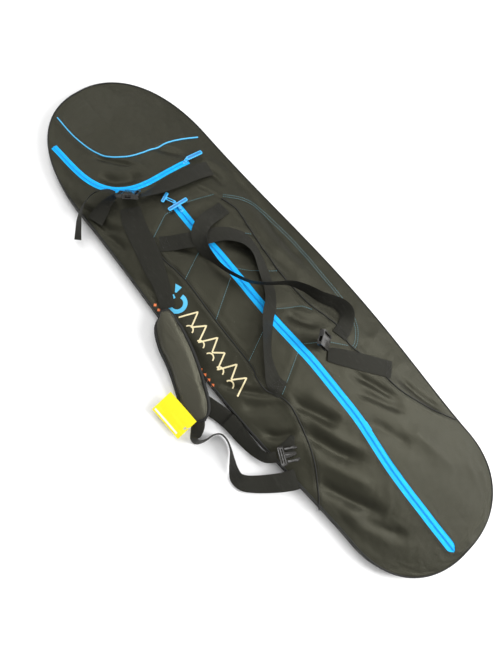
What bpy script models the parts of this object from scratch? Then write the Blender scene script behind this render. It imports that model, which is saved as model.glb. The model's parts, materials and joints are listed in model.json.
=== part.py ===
"""Snowboard bag: a flat padded bag, 1.66 m long, lying on its back with its zips upwards.

Frame: +X runs along the bag from the nose to the tail, +Y across it to the right-hand side, and +Z
up. The origin is the middle of the underside, which lies on the floor. Everything is in metres.
Every moving piece is parented to an empty that stands on its joint, with the empty's Z along the axis.
"""

import math

import bmesh
import bpy
from mathutils import Matrix, Vector

# ---- Driving dimensions ------------------------------------------------------------------------
LENGTH = 1.66
NOSE_END, TAIL_END = -LENGTH / 2, LENGTH / 2
NOSE_CAP, TAIL_CAP = 0.34, 0.21
NOSE_HALF_WIDTH, TAIL_HALF_WIDTH = 0.221, 0.2165
BULGE = 0.0225
CAP_POWER = 2.25
CAP_STEPS, SIDE_STEPS = 12, 16

CLEAR = 0.0003
EDGE_HEIGHT = 0.0305
PIPING = 0.004
EDGE_MARGIN = 0.0062
BAND = 0.0015
SHEET = 0.0020
FOAM = 0.005
PANEL = 0.003
TAPE = 0.0014
WEB = 0.0018

# Zips. Each one is an arc of a circle, given by its two ends and one point between them.
MAIN_ZIP = ((-0.364, -0.004, 0.0570), (0.22, -0.001, 0.068), (0.800, -0.033, 0.0400))
POCKET_ZIP = ((-0.716, -0.153, 0.0345), (-0.512, -0.118, 0.0480), (-0.452, 0.122, 0.0500))
MAIN_ZIP_WIDTH, POCKET_ZIP_WIDTH = 0.030, 0.017
FRONT_SLIDER_X, REAR_SLIDER_X, POCKET_SLIDER_AT = -0.3300, -0.3550, 0.955
SLIDER_BASE, POCKET_SLIDER_BASE, SLIDER_EYE = 0.0018, 0.0028, 0.0024
POCKET_PIPING = (
    (-0.785, -0.098), (-0.69, -0.097), (-0.605, -0.068), (-0.557, -0.008), (-0.538, 0.07),
    (-0.530, 0.135), (-0.505, 0.200),
)

# The mouth: two flaps that open from the zip, each hinged along the bag near its edge.
FLAP_NOSE = -0.320
FLAP_TAIL = {"left": 0.312, "right": 0.440}
SIDES = (("left", -1), ("right", 1))
FLAP_HINGE_Y, FLAP_HINGE_Z = 0.200, 0.0440
SEAM_Y = {"left": -0.125, "right": 0.112}
SEAM_PIPING = 0.0032
SLIT = 0.0015

# Webbing
STRAP_WIDTH, HANDLE_WIDTH, SHOULDER_WIDTH, NARROW_WIDTH = 0.048, 0.044, 0.060, 0.040
LIE = 0.0022

# Shoulder pad
PAD_WIDTH, PAD_THICK = 0.084, 0.012

# Side-release buckle
BUCKLE_WIDTH, BUCKLE_THICK, SOCKET_LENGTH, WALL = 0.052, 0.0125, 0.042, 0.0018
BAR_LENGTH, PRONG_LENGTH, PRONG_WIDTH, PRONG_THICK = 0.016, 0.034, 0.006, 0.0055

# ---- Materials: base colour, roughness, metallic ---------------------------------------------
BLACK_CLOTH = ("black_polyester", (0.030, 0.030, 0.026), 0.62, 0.0)
FOAM_GREY = ("grey_foam", (0.16, 0.16, 0.17), 0.90, 0.0)
WEBBING = ("black_webbing", (0.018, 0.018, 0.017), 0.66, 0.0)
NEOPRENE = ("pad_cover", (0.022, 0.022, 0.022), 0.55, 0.0)
BLUE_TAPE = ("azure_zip", (0.0, 0.36, 0.87), 0.50, 0.0)
BLUE_CORD = ("light_blue_piping", (0.06, 0.42, 0.78), 0.55, 0.0)
BLACK_CORD = ("black_piping", (0.012, 0.012, 0.012), 0.60, 0.0)
HARD_BLACK = ("black_nylon", (0.012, 0.012, 0.013), 0.28, 0.0)
YELLOW_CARD = ("yellow_card", (0.95, 0.80, 0.02), 0.55, 0.0)
CLEAR_LOOP = ("clear_fastener", (0.75, 0.75, 0.72), 0.35, 0.0)


def material(finish):
    name, colour, roughness, metallic = finish
    found = bpy.data.materials.get(name)
    if found:
        return found
    made = bpy.data.materials.new(name)
    made.use_nodes = True
    shader = made.node_tree.nodes["Principled BSDF"]
    shader.inputs["Base Color"].default_value = (*colour, 1.0)
    shader.inputs["Roughness"].default_value = roughness
    shader.inputs["Metallic"].default_value = metallic
    return made


def solid(name, finish, points, faces, parent=None, smooth=True):
    """One closed body, as an object whose origin is on its parent's joint."""
    work = bmesh.new()
    corners = [work.verts.new(point) for point in points]
    for face in faces:
        work.faces.new([corners[i] for i in face])
    bmesh.ops.recalc_face_normals(work, faces=work.faces)
    mesh = bpy.data.meshes.new(name)
    work.to_mesh(mesh)
    work.free()
    if smooth:
        mesh.shade_smooth()
        mesh.set_sharp_from_angle(angle=math.radians(35))
    obj = bpy.data.objects.new(name, mesh)
    bpy.context.collection.objects.link(obj)
    mesh.materials.append(material(finish))
    if parent:
        bpy.context.view_layer.update()
        obj.parent = parent
        mesh.transform(parent.matrix_world.inverted())
    return obj


def pivot(name, place, axis, parent=None):
    """An empty on a joint, with its Z along the joint's axis."""
    empty = bpy.data.objects.new(name, None)
    empty.empty_display_size = 0.02
    bpy.context.collection.objects.link(empty)
    turned = Vector(axis).normalized().to_track_quat("Z", "Y").to_matrix().to_4x4()
    where = Matrix.Translation(Vector(place)) @ turned
    if parent:
        bpy.context.view_layer.update()
        empty.parent = parent
        empty.matrix_local = parent.matrix_world.inverted() @ where
    else:
        empty.matrix_local = where
    bpy.context.view_layer.update()
    return empty


# ---- The bag's shape ---------------------------------------------------------------------------
def half_width(x):
    """Half of the bag's width at x: two rounded caps, and a slight bulge between them."""
    nose_from, tail_from = NOSE_END + NOSE_CAP, TAIL_END - TAIL_CAP
    if x < nose_from:
        run = min(1.0, (nose_from - x) / NOSE_CAP)
        return NOSE_HALF_WIDTH * (1 - run**CAP_POWER) ** (1 / CAP_POWER)
    if x > tail_from:
        run = min(1.0, (x - tail_from) / TAIL_CAP)
        return TAIL_HALF_WIDTH * (1 - run**CAP_POWER) ** (1 / CAP_POWER)
    run = (x - nose_from) / (tail_from - nose_from)
    level = NOSE_HALF_WIDTH + (TAIL_HALF_WIDTH - NOSE_HALF_WIDTH) * run
    return level + BULGE * math.sin(math.pi * run**1.2) ** 1.5


def outline(inset, per_cap=CAP_STEPS, per_side=SIDE_STEPS):
    """The bag's outline as a ring of points (x, y), drawn in by a distance."""
    nose_from, tail_from = NOSE_END + NOSE_CAP, TAIL_END - TAIL_CAP
    half = []
    for i in range(per_cap):
        turn = math.pi / 2 * i / per_cap
        half.append(nose_from - NOSE_CAP * math.cos(turn) ** (2 / CAP_POWER))
    for i in range(per_side):
        half.append(nose_from + (tail_from - nose_from) * i / per_side)
    for i in range(per_cap + 1):
        turn = math.pi / 2 * i / per_cap
        half.append(tail_from + TAIL_CAP * math.sin(turn) ** (2 / CAP_POWER))
    upper = [(x, half_width(x)) for x in half]
    ring = upper + [(x, -y) for x, y in upper[-2:0:-1]]
    drawn = []
    for i, (x, y) in enumerate(ring):
        before, after = ring[i - 1], ring[(i + 1) % len(ring)]
        along = Vector((after[0] - before[0], after[1] - before[1])).normalized()
        drawn.append((x - inset * -along.y, y - inset * along.x))
    return drawn


class Arc:
    """A circular arc through three points, walked by its angle from the first one."""

    def __init__(self, points):
        a, b, c = (Vector(p) for p in points)
        self.axis = (b - a).cross(c - a).normalized()
        ab, ac = b - a, c - a
        normal = ab.cross(ac)
        self.centre = a + (
            normal.cross(ab) * ac.length_squared + ac.cross(normal) * ab.length_squared
        ) / (2 * normal.length_squared)
        self.out = a - self.centre
        self.across = self.axis.cross(self.out)
        end = c - self.centre
        self.sweep = math.atan2(end.dot(self.across), end.dot(self.out)) % (2 * math.pi)

    def at(self, angle):
        return self.centre + self.out * math.cos(angle) + self.across * math.sin(angle)

    def along(self, angle):
        return (self.across * math.cos(angle) - self.out * math.sin(angle)).normalized()

    def angle_at_x(self, x):
        low, high = 0.0, self.sweep
        for _ in range(40):
            middle = (low + high) / 2
            if self.at(middle).x < x:
                low = middle
            else:
                high = middle
        return (low + high) / 2


MAIN, POCKET = Arc(MAIN_ZIP), Arc(POCKET_ZIP)


def crown(x):
    """Height of the bag's ridge: the main zip's, running down to the edge beyond its two ends."""
    first, last = MAIN_ZIP[0], MAIN_ZIP[2]
    if x < first[0]:
        run = (first[0] - x) / (first[0] - NOSE_END)
        return EDGE_HEIGHT + (first[2] - EDGE_HEIGHT) * max(0.0, 1 - run**2)
    if x > last[0]:
        run = (x - last[0]) / (TAIL_END - last[0])
        return EDGE_HEIGHT + (last[2] - EDGE_HEIGHT) * max(0.0, 1 - run**2)
    return MAIN.at(MAIN.angle_at_x(x)).z


def top(x, y):
    """Height of the bag's upper surface."""
    width = max(half_width(x), 0.001)
    return EDGE_HEIGHT + (crown(x) - EDGE_HEIGHT) * max(0.0, 1 - (y / width) ** 2)


def zip_y(x):
    return MAIN.at(MAIN.angle_at_x(x)).y


# ---- Makers ------------------------------------------------------------------------------------
def slab(name, finish, rows, thick, parent=None):
    """A panel: a grid of points on its upper face, and the same grid one thickness lower."""
    down, across = len(rows), len(rows[0])
    points = [Vector(p) for row in rows for p in row]
    points += [p - Vector((0, 0, thick)) for p in points]
    under = down * across

    def at(i, j):
        return i * across + j

    faces = []
    for i in range(down - 1):
        for j in range(across - 1):
            quad = [at(i, j), at(i + 1, j), at(i + 1, j + 1), at(i, j + 1)]
            faces.append(quad)
            faces.append([under + corner for corner in reversed(quad)])
    rim = [at(i, 0) for i in range(down)] + [at(down - 1, j) for j in range(1, across)]
    rim += [at(i, across - 1) for i in range(down - 2, -1, -1)]
    rim += [at(0, j) for j in range(across - 2, 0, -1)]
    for a, b in zip(rim, rim[1:] + rim[:1]):
        faces.append([a, b, under + b, under + a])
    return solid(name, finish, points, faces, parent)


def panel(name, finish, lower, upper, steps, across=4, thick=PANEL, parent=None, height=top):
    """A panel between two edges. Each edge is a function from 0..1 to a point (x, y)."""
    rows = []
    for i in range(steps + 1):
        (x0, y0), (x1, y1) = lower(i / steps), upper(i / steps)
        row = []
        for j in range(across + 1):
            x, y = x0 + (x1 - x0) * j / across, y0 + (y1 - y0) * j / across
            row.append((x, y, height(x, y)))
        rows.append(row)
    return slab(name, finish, rows, thick, parent)


def loft(name, finish, sections, parent=None, closed=False, smooth=True):
    """A body through sections with the same number of points, capped at both ends or closed."""
    size = len(sections[0])
    points = [p for section in sections for p in section]
    faces = []
    last = len(sections) if closed else len(sections) - 1
    for i in range(last):
        for j in range(size):
            a, b = i * size, (i + 1) % len(sections) * size
            k = (j + 1) % size
            faces.append([a + j, a + k, b + k, b + j])
    if not closed:
        faces.append(list(range(size)))
        faces.append([(len(sections) - 1) * size + j for j in reversed(range(size))])
    return solid(name, finish, points, faces, parent, smooth)


def smooth_path(points, per_span):
    """A smooth curve through the points of a route. A point may hold more values than its place."""
    rows = [tuple(p) for p in points]
    rows = [rows[0]] + rows + [rows[-1]]
    made = []
    for i in range(1, len(rows) - 2):
        for step in range(per_span):
            t = step / per_span
            made.append(tuple(
                0.5 * (2 * b + (c - a) * t + (2 * a - 5 * b + 4 * c - d) * t * t
                       + (3 * b - a - 3 * c + d) * t**3)
                for a, b, c, d in zip(rows[i - 1], rows[i], rows[i + 1], rows[i + 2])
            ))
    return made + [rows[-2]]


def webbing(name, route, thick=WEB, finish=WEBBING, parent=None, per_span=2):
    """A strap along a route of (x, y, z, width, turn): turn 0 lies flat, 90 stands on its edge."""
    path = smooth_path(route, per_span)
    sections = []
    for i, (x, y, z, width, turn) in enumerate(path):
        before, after = path[max(i - 1, 0)], path[min(i + 1, len(path) - 1)]
        along = (Vector(after[:3]) - Vector(before[:3])).normalized()
        side = Vector((-along.y, along.x, 0)).normalized()
        side.rotate(Matrix.Rotation(math.radians(turn), 3, along))
        face = along.cross(side)
        middle = Vector((x, y, z))
        a, b = side * width / 2, face * thick / 2
        section = [middle - a - b, middle + a - b, middle + a + b, middle - a + b]
        rise = max(0.0, max(floor_under(p.x, p.y) + LIE - p.z for p in section[:2]))
        sections.append([p + Vector((0, 0, rise)) for p in section])
    return loft(name, finish, sections, parent)


def floor_under(x, y):
    """Height of what a strap lies on at (x, y): the bag, or the floor beside it."""
    beyond = abs(y) - half_width(x) if abs(x) < LENGTH / 2 else 1.0
    if beyond >= 0.004:
        return -LIE + CLEAR
    return top(x, y) + (0.001 if beyond > -0.01 else 0.0)


def lying_web(name, route, lift=LIE, thick=WEB, finish=WEBBING, parent=None, per_span=3):
    """A strap that lies on the bag: a route of (x, y, width), its four corners on the surface."""
    path = smooth_path(route, per_span)
    sections = []
    for i, (x, y, width) in enumerate(path):
        before, after = path[max(i - 1, 0)], path[min(i + 1, len(path) - 1)]
        along = Vector((after[0] - before[0], after[1] - before[1])).normalized()
        side = Vector((-along.y, along.x)) * width / 2
        low = [(x + s * side.x, y + s * side.y) for s in (-1, 0, 1)]
        bottom = [Vector((a, b, top(a, b) + lift)) for a, b in low]
        upper = [p + Vector((0, 0, thick)) for p in reversed(bottom)]
        sections.append(bottom + upper)
    return loft(name, finish, sections, parent)


def cord(name, finish, points, radius, closed=False, sides=6, parent=None):
    """A round cord through points, as a tube."""
    sections = []
    count = len(points)
    for i, point in enumerate(points):
        before = points[i - 1] if closed or i else point
        after = points[(i + 1) % count] if closed or i < count - 1 else point
        along = (Vector(after) - Vector(before)).normalized()
        side = Vector((-along.y, along.x, 0)).normalized()
        up = along.cross(side)
        turns = [2 * math.pi * k / sides for k in range(sides)]
        sections.append([
            Vector(point) + side * radius * math.cos(a) + up * radius * math.sin(a) for a in turns
        ])
    return loft(name, finish, sections, parent, closed)


def block(name, finish, frame, low, high, parent=None, taper=1.0):
    """A box in a frame's own axes, from its low corner to its high one, drawn in at its top."""
    points = []
    middle = [(a + b) / 2 for a, b in zip(low, high)]
    for z, scale in ((low[2], 1.0), (high[2], taper)):
        for x, y in ((low[0], low[1]), (high[0], low[1]), (high[0], high[1]), (low[0], high[1])):
            spot = (middle[0] + (x - middle[0]) * scale, middle[1] + (y - middle[1]) * scale, z)
            points.append(frame @ Vector(spot))
    faces = [[0, 1, 2, 3], [4, 5, 6, 7], [0, 1, 5, 4], [1, 2, 6, 5], [2, 3, 7, 6], [3, 0, 4, 7]]
    return solid(name, finish, points, faces, parent, smooth=False)


def frame_at(place, along, up=(0, 0, 1), turn=0.0):
    """A frame with X along a direction and Z near up, turned about X by some degrees."""
    x = Vector(along).normalized()
    y = Vector(up).cross(x).normalized()
    z = x.cross(y)
    basis = Matrix((x, y, z)).transposed().to_4x4()
    return Matrix.Translation(Vector(place)) @ basis @ Matrix.Rotation(math.radians(turn), 4, "X")


# ---- Shell -------------------------------------------------------------------------------------
def base():
    for name, finish, low, thick, inset in (
        ("base_panel", BLACK_CLOTH, 0.0, SHEET, PIPING + CLEAR),
        ("base_foam", FOAM_GREY, SHEET + CLEAR, FOAM, PIPING + 0.008),
    ):
        ring = outline(inset)
        count = len(ring)
        points = [(x, y, low) for x, y in ring] + [(x, y, low + thick) for x, y in ring]
        faces = [list(range(count)), [count + i for i in range(count)]]
        faces += [[i, (i + 1) % count, count + (i + 1) % count, count + i] for i in range(count)]
        solid(name, finish, points, faces)


def edge_cords():
    ring = outline(PIPING / 2)
    for name, height in (("piping_bottom", PIPING / 2), ("piping_top", EDGE_HEIGHT - 0.0005)):
        cord(name, BLACK_CORD, [(x, y, height) for x, y in ring], PIPING / 2, closed=True)


def side_bands():
    """The wall of the bag, in four lengths: round the nose, along each side and round the tail."""
    outer, inner = outline(0.0012), outline(0.0012 + BAND)
    low, high = PIPING + CLEAR, EDGE_HEIGHT - 0.0005 - PIPING / 2 - CLEAR
    count = len(outer)
    cap, side = CAP_STEPS, SIDE_STEPS
    spans = {
        "side_band_right": (cap, cap + side),
        "side_band_tail": (cap + side, cap + side + 2 * cap),
        "side_band_left": (cap + side + 2 * cap, cap + 2 * side + 2 * cap),
        "side_band_nose": (cap + 2 * side + 2 * cap, count + cap),
    }
    for name, (first, last) in spans.items():
        sections = []
        for i in range(first, last + 1):
            a, b = Vector(outer[i % count]), Vector(inner[i % count])
            if i == first:
                nearer_a, nearer_b = Vector(outer[(i + 1) % count]), Vector(inner[(i + 1) % count])
                a += (nearer_a - a).normalized() * CLEAR / 2
                b += (nearer_b - b).normalized() * CLEAR / 2
            if i == last:
                nearer_a, nearer_b = Vector(outer[(i - 1) % count]), Vector(inner[(i - 1) % count])
                a += (nearer_a - a).normalized() * CLEAR / 2
                b += (nearer_b - b).normalized() * CLEAR / 2
            sections.append([(*a, low), (*b, low), (*b, high), (*a, high)])
        loft(name, BLACK_CLOTH, sections)


def inside_edge(x):
    """Where the top panels end, short of the edge cord, measured square to the outline."""
    step = 0.002
    slope = (half_width(x + step) - half_width(x - step)) / (2 * step)
    return max(half_width(x) - EDGE_MARGIN * math.sqrt(1 + slope**2), 0.0)


def arc_edge(arc, offset):
    """An edge that runs beside an arc seen from above, from its first point to its last."""
    def edge(run):
        angle = arc.sweep * run
        place, along = arc.at(angle), arc.along(angle)
        side = Vector((-along.y, along.x)).normalized()
        return place.x + side.x * offset, place.y + side.y * offset
    return edge


def route_edge(route, offset):
    path = smooth_path(route, 6)

    def edge(run):
        at = run * (len(path) - 1)
        i = min(int(at), len(path) - 2)
        a, b = Vector(path[i]), Vector(path[i + 1])
        along = (b - a).normalized()
        spot = a + (b - a) * (at - i)
        return spot.x - along.y * offset, spot.y + along.x * offset
    return edge


def rim_edge(first, last, side_first, side_last):
    """An edge that follows the bag's outline round the nose, from one side to the other."""
    def edge(run):
        around = -1 + 2 * run
        span = first if around < 0 else last
        x = NOSE_END + EDGE_MARGIN + (span - NOSE_END - EDGE_MARGIN) * abs(around) ** 2.2
        side = side_first if around < 0 else side_last
        return x, side * max(inside_edge(x), 0.0)
    return edge


def nose_panels():
    piping = route_edge(POCKET_PIPING, 0)
    start, end = POCKET_PIPING[0], POCKET_PIPING[-1]
    panel(
        "nose_panel", BLACK_CLOTH,
        rim_edge(start[0] - 0.012, end[0] - 0.02, -1, 1),
        lambda run: route_edge(POCKET_PIPING, 0.0030)(0.012 + 0.976 * run), 20,
    )
    cord(
        "pocket_piping", BLUE_CORD,
        [(*piping(i / 24), top(*piping(i / 24)) - 0.0006) for i in range(25)], 0.0019,
    )
    half = POCKET_ZIP_WIDTH / 2
    panel(
        "pocket_panel", BLACK_CLOTH,
        lambda run: route_edge(POCKET_PIPING, -0.0030)(0.01 + 0.985 * run),
        arc_edge(POCKET, half + 2 * CLEAR), 20, height=near_pocket,
    )
    zip_tape("pocket_zip_tape", POCKET, 0.0, 1.0, -half, half, 22)
    coil = [POCKET.at(POCKET.sweep * i / 22) + Vector((0, 0, 0.0014)) for i in range(23)]
    cord("pocket_zip_coil", BLUE_TAPE, coil, 0.0011, sides=4)


def near_pocket(x, y):
    """The upper surface, eased to the pocket zip's own height beside it."""
    place = Vector((x, y)) - Vector(POCKET.centre[:2])
    angle = math.atan2(place.y, place.x) - math.atan2(POCKET.out.y, POCKET.out.x)
    angle = (angle + math.pi) % (2 * math.pi) - math.pi
    spot = POCKET.at(min(max(angle, 0.0), POCKET.sweep))
    away = (Vector((x, y)) - Vector(spot[:2])).length
    share = max(0.0, 1 - away / 0.06) ** 2
    return top(x, y) * (1 - share) + spot.z * share


def zip_tape(name, arc, first, last, low, high, steps, parent=None):
    """A flat tape beside an arc, from one share of it to another."""
    rows = []
    for i in range(steps + 1):
        angle = arc.sweep * (first + (last - first) * i / steps)
        place, along = arc.at(angle), arc.along(angle)
        side = Vector((-along.y, along.x, 0)).normalized()
        rows.append([place + side * low, place + side * high])
    return slab(name, BLUE_TAPE, rows, TAPE, parent)


def collar():
    """The panel between the pocket's zip and the mouth, notched for the nose end of the main zip."""
    half = POCKET_ZIP_WIDTH / 2
    mouth_x, wide = FLAP_NOSE - 2 * SLIT, inside_edge(FLAP_NOSE)
    beside = arc_edge(POCKET, -half - 4 * CLEAR)
    notch = MAIN_ZIP_WIDTH / 2 + 4 * CLEAR
    low, high = MAIN_ZIP[0][1] - notch, MAIN_ZIP[0][1] + notch
    deep = MAIN_ZIP[0][0] - 4 * CLEAR

    def nose_side(run):
        first, last = 0.06, 0.93
        if run < first:
            x, y = beside(0.0)
            return x, -inside_edge(x) + (y + inside_edge(x)) * run / first
        if run > last:
            x, y = beside(1.0)
            share = (run - last) / (1 - last)
            here = x + (POCKET_PIPING[-1][0] + 0.02 - x) * share
            return here, y + (inside_edge(here) - y) * share
        return beside((run - first) / (last - first))

    count = 18
    mouth = [(mouth_x, -wide + (low + wide) * k / count) for k in range(count + 1)]
    mouth += [(deep, low + CLEAR), (deep, (low + high) / 2), (deep, high - CLEAR)]
    mouth += [(mouth_x, high + (wide - high) * k / count) for k in range(count + 1)]
    sides = {}
    for side, run in ((-1, 0.0), (1, 1.0)):
        start = nose_side(run)
        sides[side] = (start, (mouth_x, side * wide))

    def outward(side, share):
        """How far the bag's outline bows out from the straight line between two corners."""
        (x0, y0), (x1, y1) = sides[side]
        x = x0 + (x1 - x0) * share
        return side * inside_edge(x) - (y0 + (y1 - y0) * share)

    rows, across = [], 8
    for x1, y1 in mouth:
        run = (y1 + wide) / (2 * wide)
        x0, y0 = nose_side(run)
        row = []
        for j in range(across + 1):
            share = j / across
            bow = (1 - run) ** 2 * outward(-1, share) + run**2 * outward(1, share)
            x, y = x0 + (x1 - x0) * share, y0 + (y1 - y0) * share + bow
            row.append((x, y, near_pocket(x, y)))
        rows.append(row)
    slab("collar_panel", BLACK_CLOTH, rows, PANEL)


def rims():
    """The fixed strips outside the flaps' hinges, one on each side."""
    for word, side in SIDES:
        length = FLAP_TAIL[word] - FLAP_NOSE

        def hinge(run, side=side, length=length):
            return FLAP_NOSE + length * run, side * (FLAP_HINGE_Y + SLIT / 2)

        def edge(run, side=side, length=length):
            x = FLAP_NOSE + length * run
            return x, side * inside_edge(x)
        panel(f"rim_{word}", BLACK_CLOTH, hinge, edge, 14, across=2)


def tail_panels():
    """The two panels beyond the mouth, either side of the zip, closed round the tail."""
    last = TAIL_END - 0.0075
    half = MAIN_ZIP_WIDTH / 2 + 2 * CLEAR
    for word, side in SIDES:
        first = FLAP_TAIL[word] + 2 * SLIT

        def x_at(run, first=first):
            return first + (last - first) * math.sin(math.pi / 2 * run) ** 1.3

        def centre(run, side=side, x_at=x_at):
            x = x_at(run)
            if x < MAIN_ZIP[2][0] + 0.002:
                return x, zip_y(x) + side * half
            share = (x - MAIN_ZIP[2][0]) / (last - MAIN_ZIP[2][0])
            return x, MAIN_ZIP[2][1] * (1 - share) + side * max(half * (1 - share), CLEAR)

        def edge(run, side=side, x_at=x_at):
            return x_at(run), side * max(inside_edge(x_at(run)), 0.004)
        panel(f"tail_panel_{word}", BLACK_CLOTH, centre, edge, 18, across=4)


def main_zip(flaps):
    """The main zip's tapes: whole at the nose, and two halves along the flaps and the tail."""
    half = MAIN_ZIP_WIDTH / 2
    nose = MAIN.angle_at_x(FLAP_NOSE) / MAIN.sweep
    gap = SLIT / (MAIN.sweep * MAIN.out.length)
    zip_tape("main_zip_nose", MAIN, 0.0, nose - gap / 2, -half, half, 2)
    for word, side in SIDES:
        tail = MAIN.angle_at_x(FLAP_TAIL[word]) / MAIN.sweep
        low, high = sorted((side * CLEAR, side * half))
        zip_tape(f"main_zip_{word}", MAIN, nose + gap, tail - gap, low, high, 20, flaps[word])
        zip_tape(f"main_zip_tail_{word}", MAIN, tail + gap / 2, 1.0, low, high, 12)


def flap_pivots():
    made = {}
    for name, side in SIDES:
        place = (0.0, side * FLAP_HINGE_Y, FLAP_HINGE_Z)
        made[name] = pivot(f"flap_{name}_hinge", place, (-side, 0, 0))
    return made


def flap_panels(flaps):
    """Each flap is a quilted centre panel and a plain outer one, with a corded seam between them."""
    half = MAIN_ZIP_WIDTH / 2 + 2 * CLEAR
    for name, side in SIDES:
        seam_y = SEAM_Y[name]

        def x_at(run, name=name):
            return FLAP_NOSE + SLIT + (FLAP_TAIL[name] - FLAP_NOSE - 2 * SLIT) * run

        def beside_zip(run, side=side, x_at=x_at):
            return x_at(run), zip_y(x_at(run)) + side * half

        def seam_inner(run, side=side, seam_y=seam_y, x_at=x_at):
            return x_at(run), seam_y - side * (SEAM_PIPING / 2 + CLEAR)

        def seam_outer(run, side=side, seam_y=seam_y, x_at=x_at):
            return x_at(run), seam_y + side * (SEAM_PIPING / 2 + CLEAR)

        def at_hinge(run, side=side, x_at=x_at):
            return x_at(run), side * (FLAP_HINGE_Y - SLIT / 2)
        parent = flaps[name]
        panel(f"centre_panel_{name}", BLACK_CLOTH, beside_zip, seam_inner, 16, parent=parent)
        panel(f"outer_panel_{name}", BLACK_CLOTH, seam_outer, at_hinge, 16, 3, parent=parent)
        line = [(x_at(i / 20), seam_y, top(x_at(i / 20), seam_y) - 0.0012) for i in range(21)]
        cord(f"seam_piping_{name}", BLACK_CORD, line, SEAM_PIPING / 2, parent=parent)


# ---- Zip sliders -------------------------------------------------------------------------------
def slider(name, arc, angle, size, turn, travel=True, rise=SLIDER_EYE, base_z=SLIDER_BASE):
    """A slider on a zip. Returns the empty that its pull swings on, and the pull's frame."""
    place, along = arc.at(angle), arc.along(angle)
    length, width, high = size
    carrier = pivot(f"{name}_slider_travel", arc.centre, arc.axis) if travel else None
    frame = frame_at(place, along)
    block(
        f"{name}_slider", BLUE_TAPE, frame,
        (-length / 2, -width / 2, base_z), (length / 2, width / 2, base_z + high), carrier, 0.8,
    )
    hinge_place = frame @ Vector((0, 0, base_z + high + rise))
    out = frame.to_3x3() @ (Matrix.Rotation(math.radians(turn), 3, "Z") @ Vector((1, 0, 0)))
    axis = Vector((0, 0, 1)).cross(out).normalized()
    swing = pivot(f"{name}_pull_hinge", hinge_place, -axis, carrier)
    return swing, frame_at(hinge_place, out)


def pull(name, swing, frame, link, tab):
    """A link from the slider, and a moulded bar across its end."""
    link_length, link_width = link
    tab_length, tab_width, tab_thick = tab
    x0, x1 = -0.0012, link_length
    low, high = -0.0009, 0.0009
    half, reach = link_width / 2, tab_length
    shape = [
        (x0, -half), (x1, -half), (x1, -reach / 2), (x1 + tab_width, -reach / 2),
        (x1 + tab_width, reach / 2), (x1, reach / 2), (x1, half), (x0, half),
    ]
    points = [frame @ Vector((x, y, low)) for x, y in shape]
    points += [frame @ Vector((x, y, max(high, tab_thick / 2))) for x, y in shape]
    count = len(shape)
    faces = [list(range(count)), [count + i for i in range(count)]]
    faces += [[i, (i + 1) % count, count + (i + 1) % count, count + i] for i in range(count)]
    solid(f"{name}_pull", BLUE_TAPE, points, faces, swing, smooth=False)


def sliders():
    """Two sliders head to head at the nose end of the main zip, and one on the pocket's zip."""
    size = (0.017, 0.011, 0.0036)
    place = MAIN.angle_at_x(FRONT_SLIDER_X)
    swing, frame = slider("front", MAIN, place, size, 176, rise=SLIDER_EYE + 0.0010)
    pull("front", swing, frame, (0.009, 0.010), (0.062, 0.011, 0.003))
    place = MAIN.angle_at_x(REAR_SLIDER_X)
    swing, frame = slider("rear", MAIN, place, size, 204, travel=False)
    pull("rear", swing, frame, (0.027, 0.010), (0.030, 0.008, 0.003))
    size = (0.013, 0.009, 0.0038)
    place = POCKET.sweep * POCKET_SLIDER_AT
    swing, frame = slider("pocket", POCKET, place, size, 8, base_z=POCKET_SLIDER_BASE)
    pull("pocket", swing, frame, (0.040, 0.007), (0.016, 0.020, 0.003))


# ---- Buckles -----------------------------------------------------------------------------------
def socket(name, frame, parent=None):
    """The female half: a flat tube, open at its mouth and at the end its strap goes into."""
    half, thick = BUCKLE_WIDTH / 2, BUCKLE_THICK / 2
    rings = []
    for x in (0.0, SOCKET_LENGTH):
        for grow in (0.0, -WALL):
            y, z = half + grow, thick + grow
            rings.append([frame @ Vector((x, *p)) for p in ((-y, -z), (y, -z), (y, z), (-y, z))])
    near_out, near_in, far_out, far_in = range(4)
    points = [p for ring in rings for p in ring]
    faces = []
    for a, b in ((near_out, far_out), (far_out, far_in), (far_in, near_in), (near_in, near_out)):
        for j in range(4):
            k = (j + 1) % 4
            faces.append([a * 4 + j, a * 4 + k, b * 4 + k, b * 4 + j])
    solid(name, HARD_BLACK, points, faces, parent, smooth=False)


def plug(name, frame, parent, prong_parent):
    """The male half: a bar with a guide tongue, and a springy prong on each side of it."""
    half = BUCKLE_WIDTH / 2 - 0.001
    thick = PRONG_THICK / 2
    tongue = 0.006
    shape = [
        (-BAR_LENGTH, -half), (-0.001, -half), (-0.001, -tongue), (PRONG_LENGTH * 0.8, -tongue / 2),
        (PRONG_LENGTH * 0.8, tongue / 2), (-0.001, tongue), (-0.001, half), (-BAR_LENGTH, half),
    ]
    count = len(shape)
    points = [frame @ Vector((x, y, -thick)) for x, y in shape]
    points += [frame @ Vector((x, y, thick)) for x, y in shape]
    faces = [list(range(count)), [count + i for i in range(count)]]
    faces += [[i, (i + 1) % count, count + (i + 1) % count, count + i] for i in range(count)]
    solid(f"{name}_plug", HARD_BLACK, points, faces, parent, smooth=False)
    for side, word in ((-1, "near"), (1, "far")):
        inner, outer = 0.0135, 0.0135 + PRONG_WIDTH
        hinge = frame @ Vector((0.001, side * (inner + outer) / 2, 0))
        axis = frame.to_3x3() @ Vector((0, 0, -side))
        empty = pivot(f"{name}_prong_{word}_spring", hinge, axis, prong_parent)
        y0, y1 = (inner, outer) if side > 0 else (-outer, -inner)
        block(
            f"{name}_prong_{word}", HARD_BLACK, frame,
            (CLEAR * 2, y0, -thick), (PRONG_LENGTH, y1, thick), empty,
        )


NOSE_BUCKLE = Vector((-0.4490, -0.1050, 0.0800))
NOSE_PULL = Vector((-0.667, -0.745, -0.06)).normalized()
NOSE_TURN = 45


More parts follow.
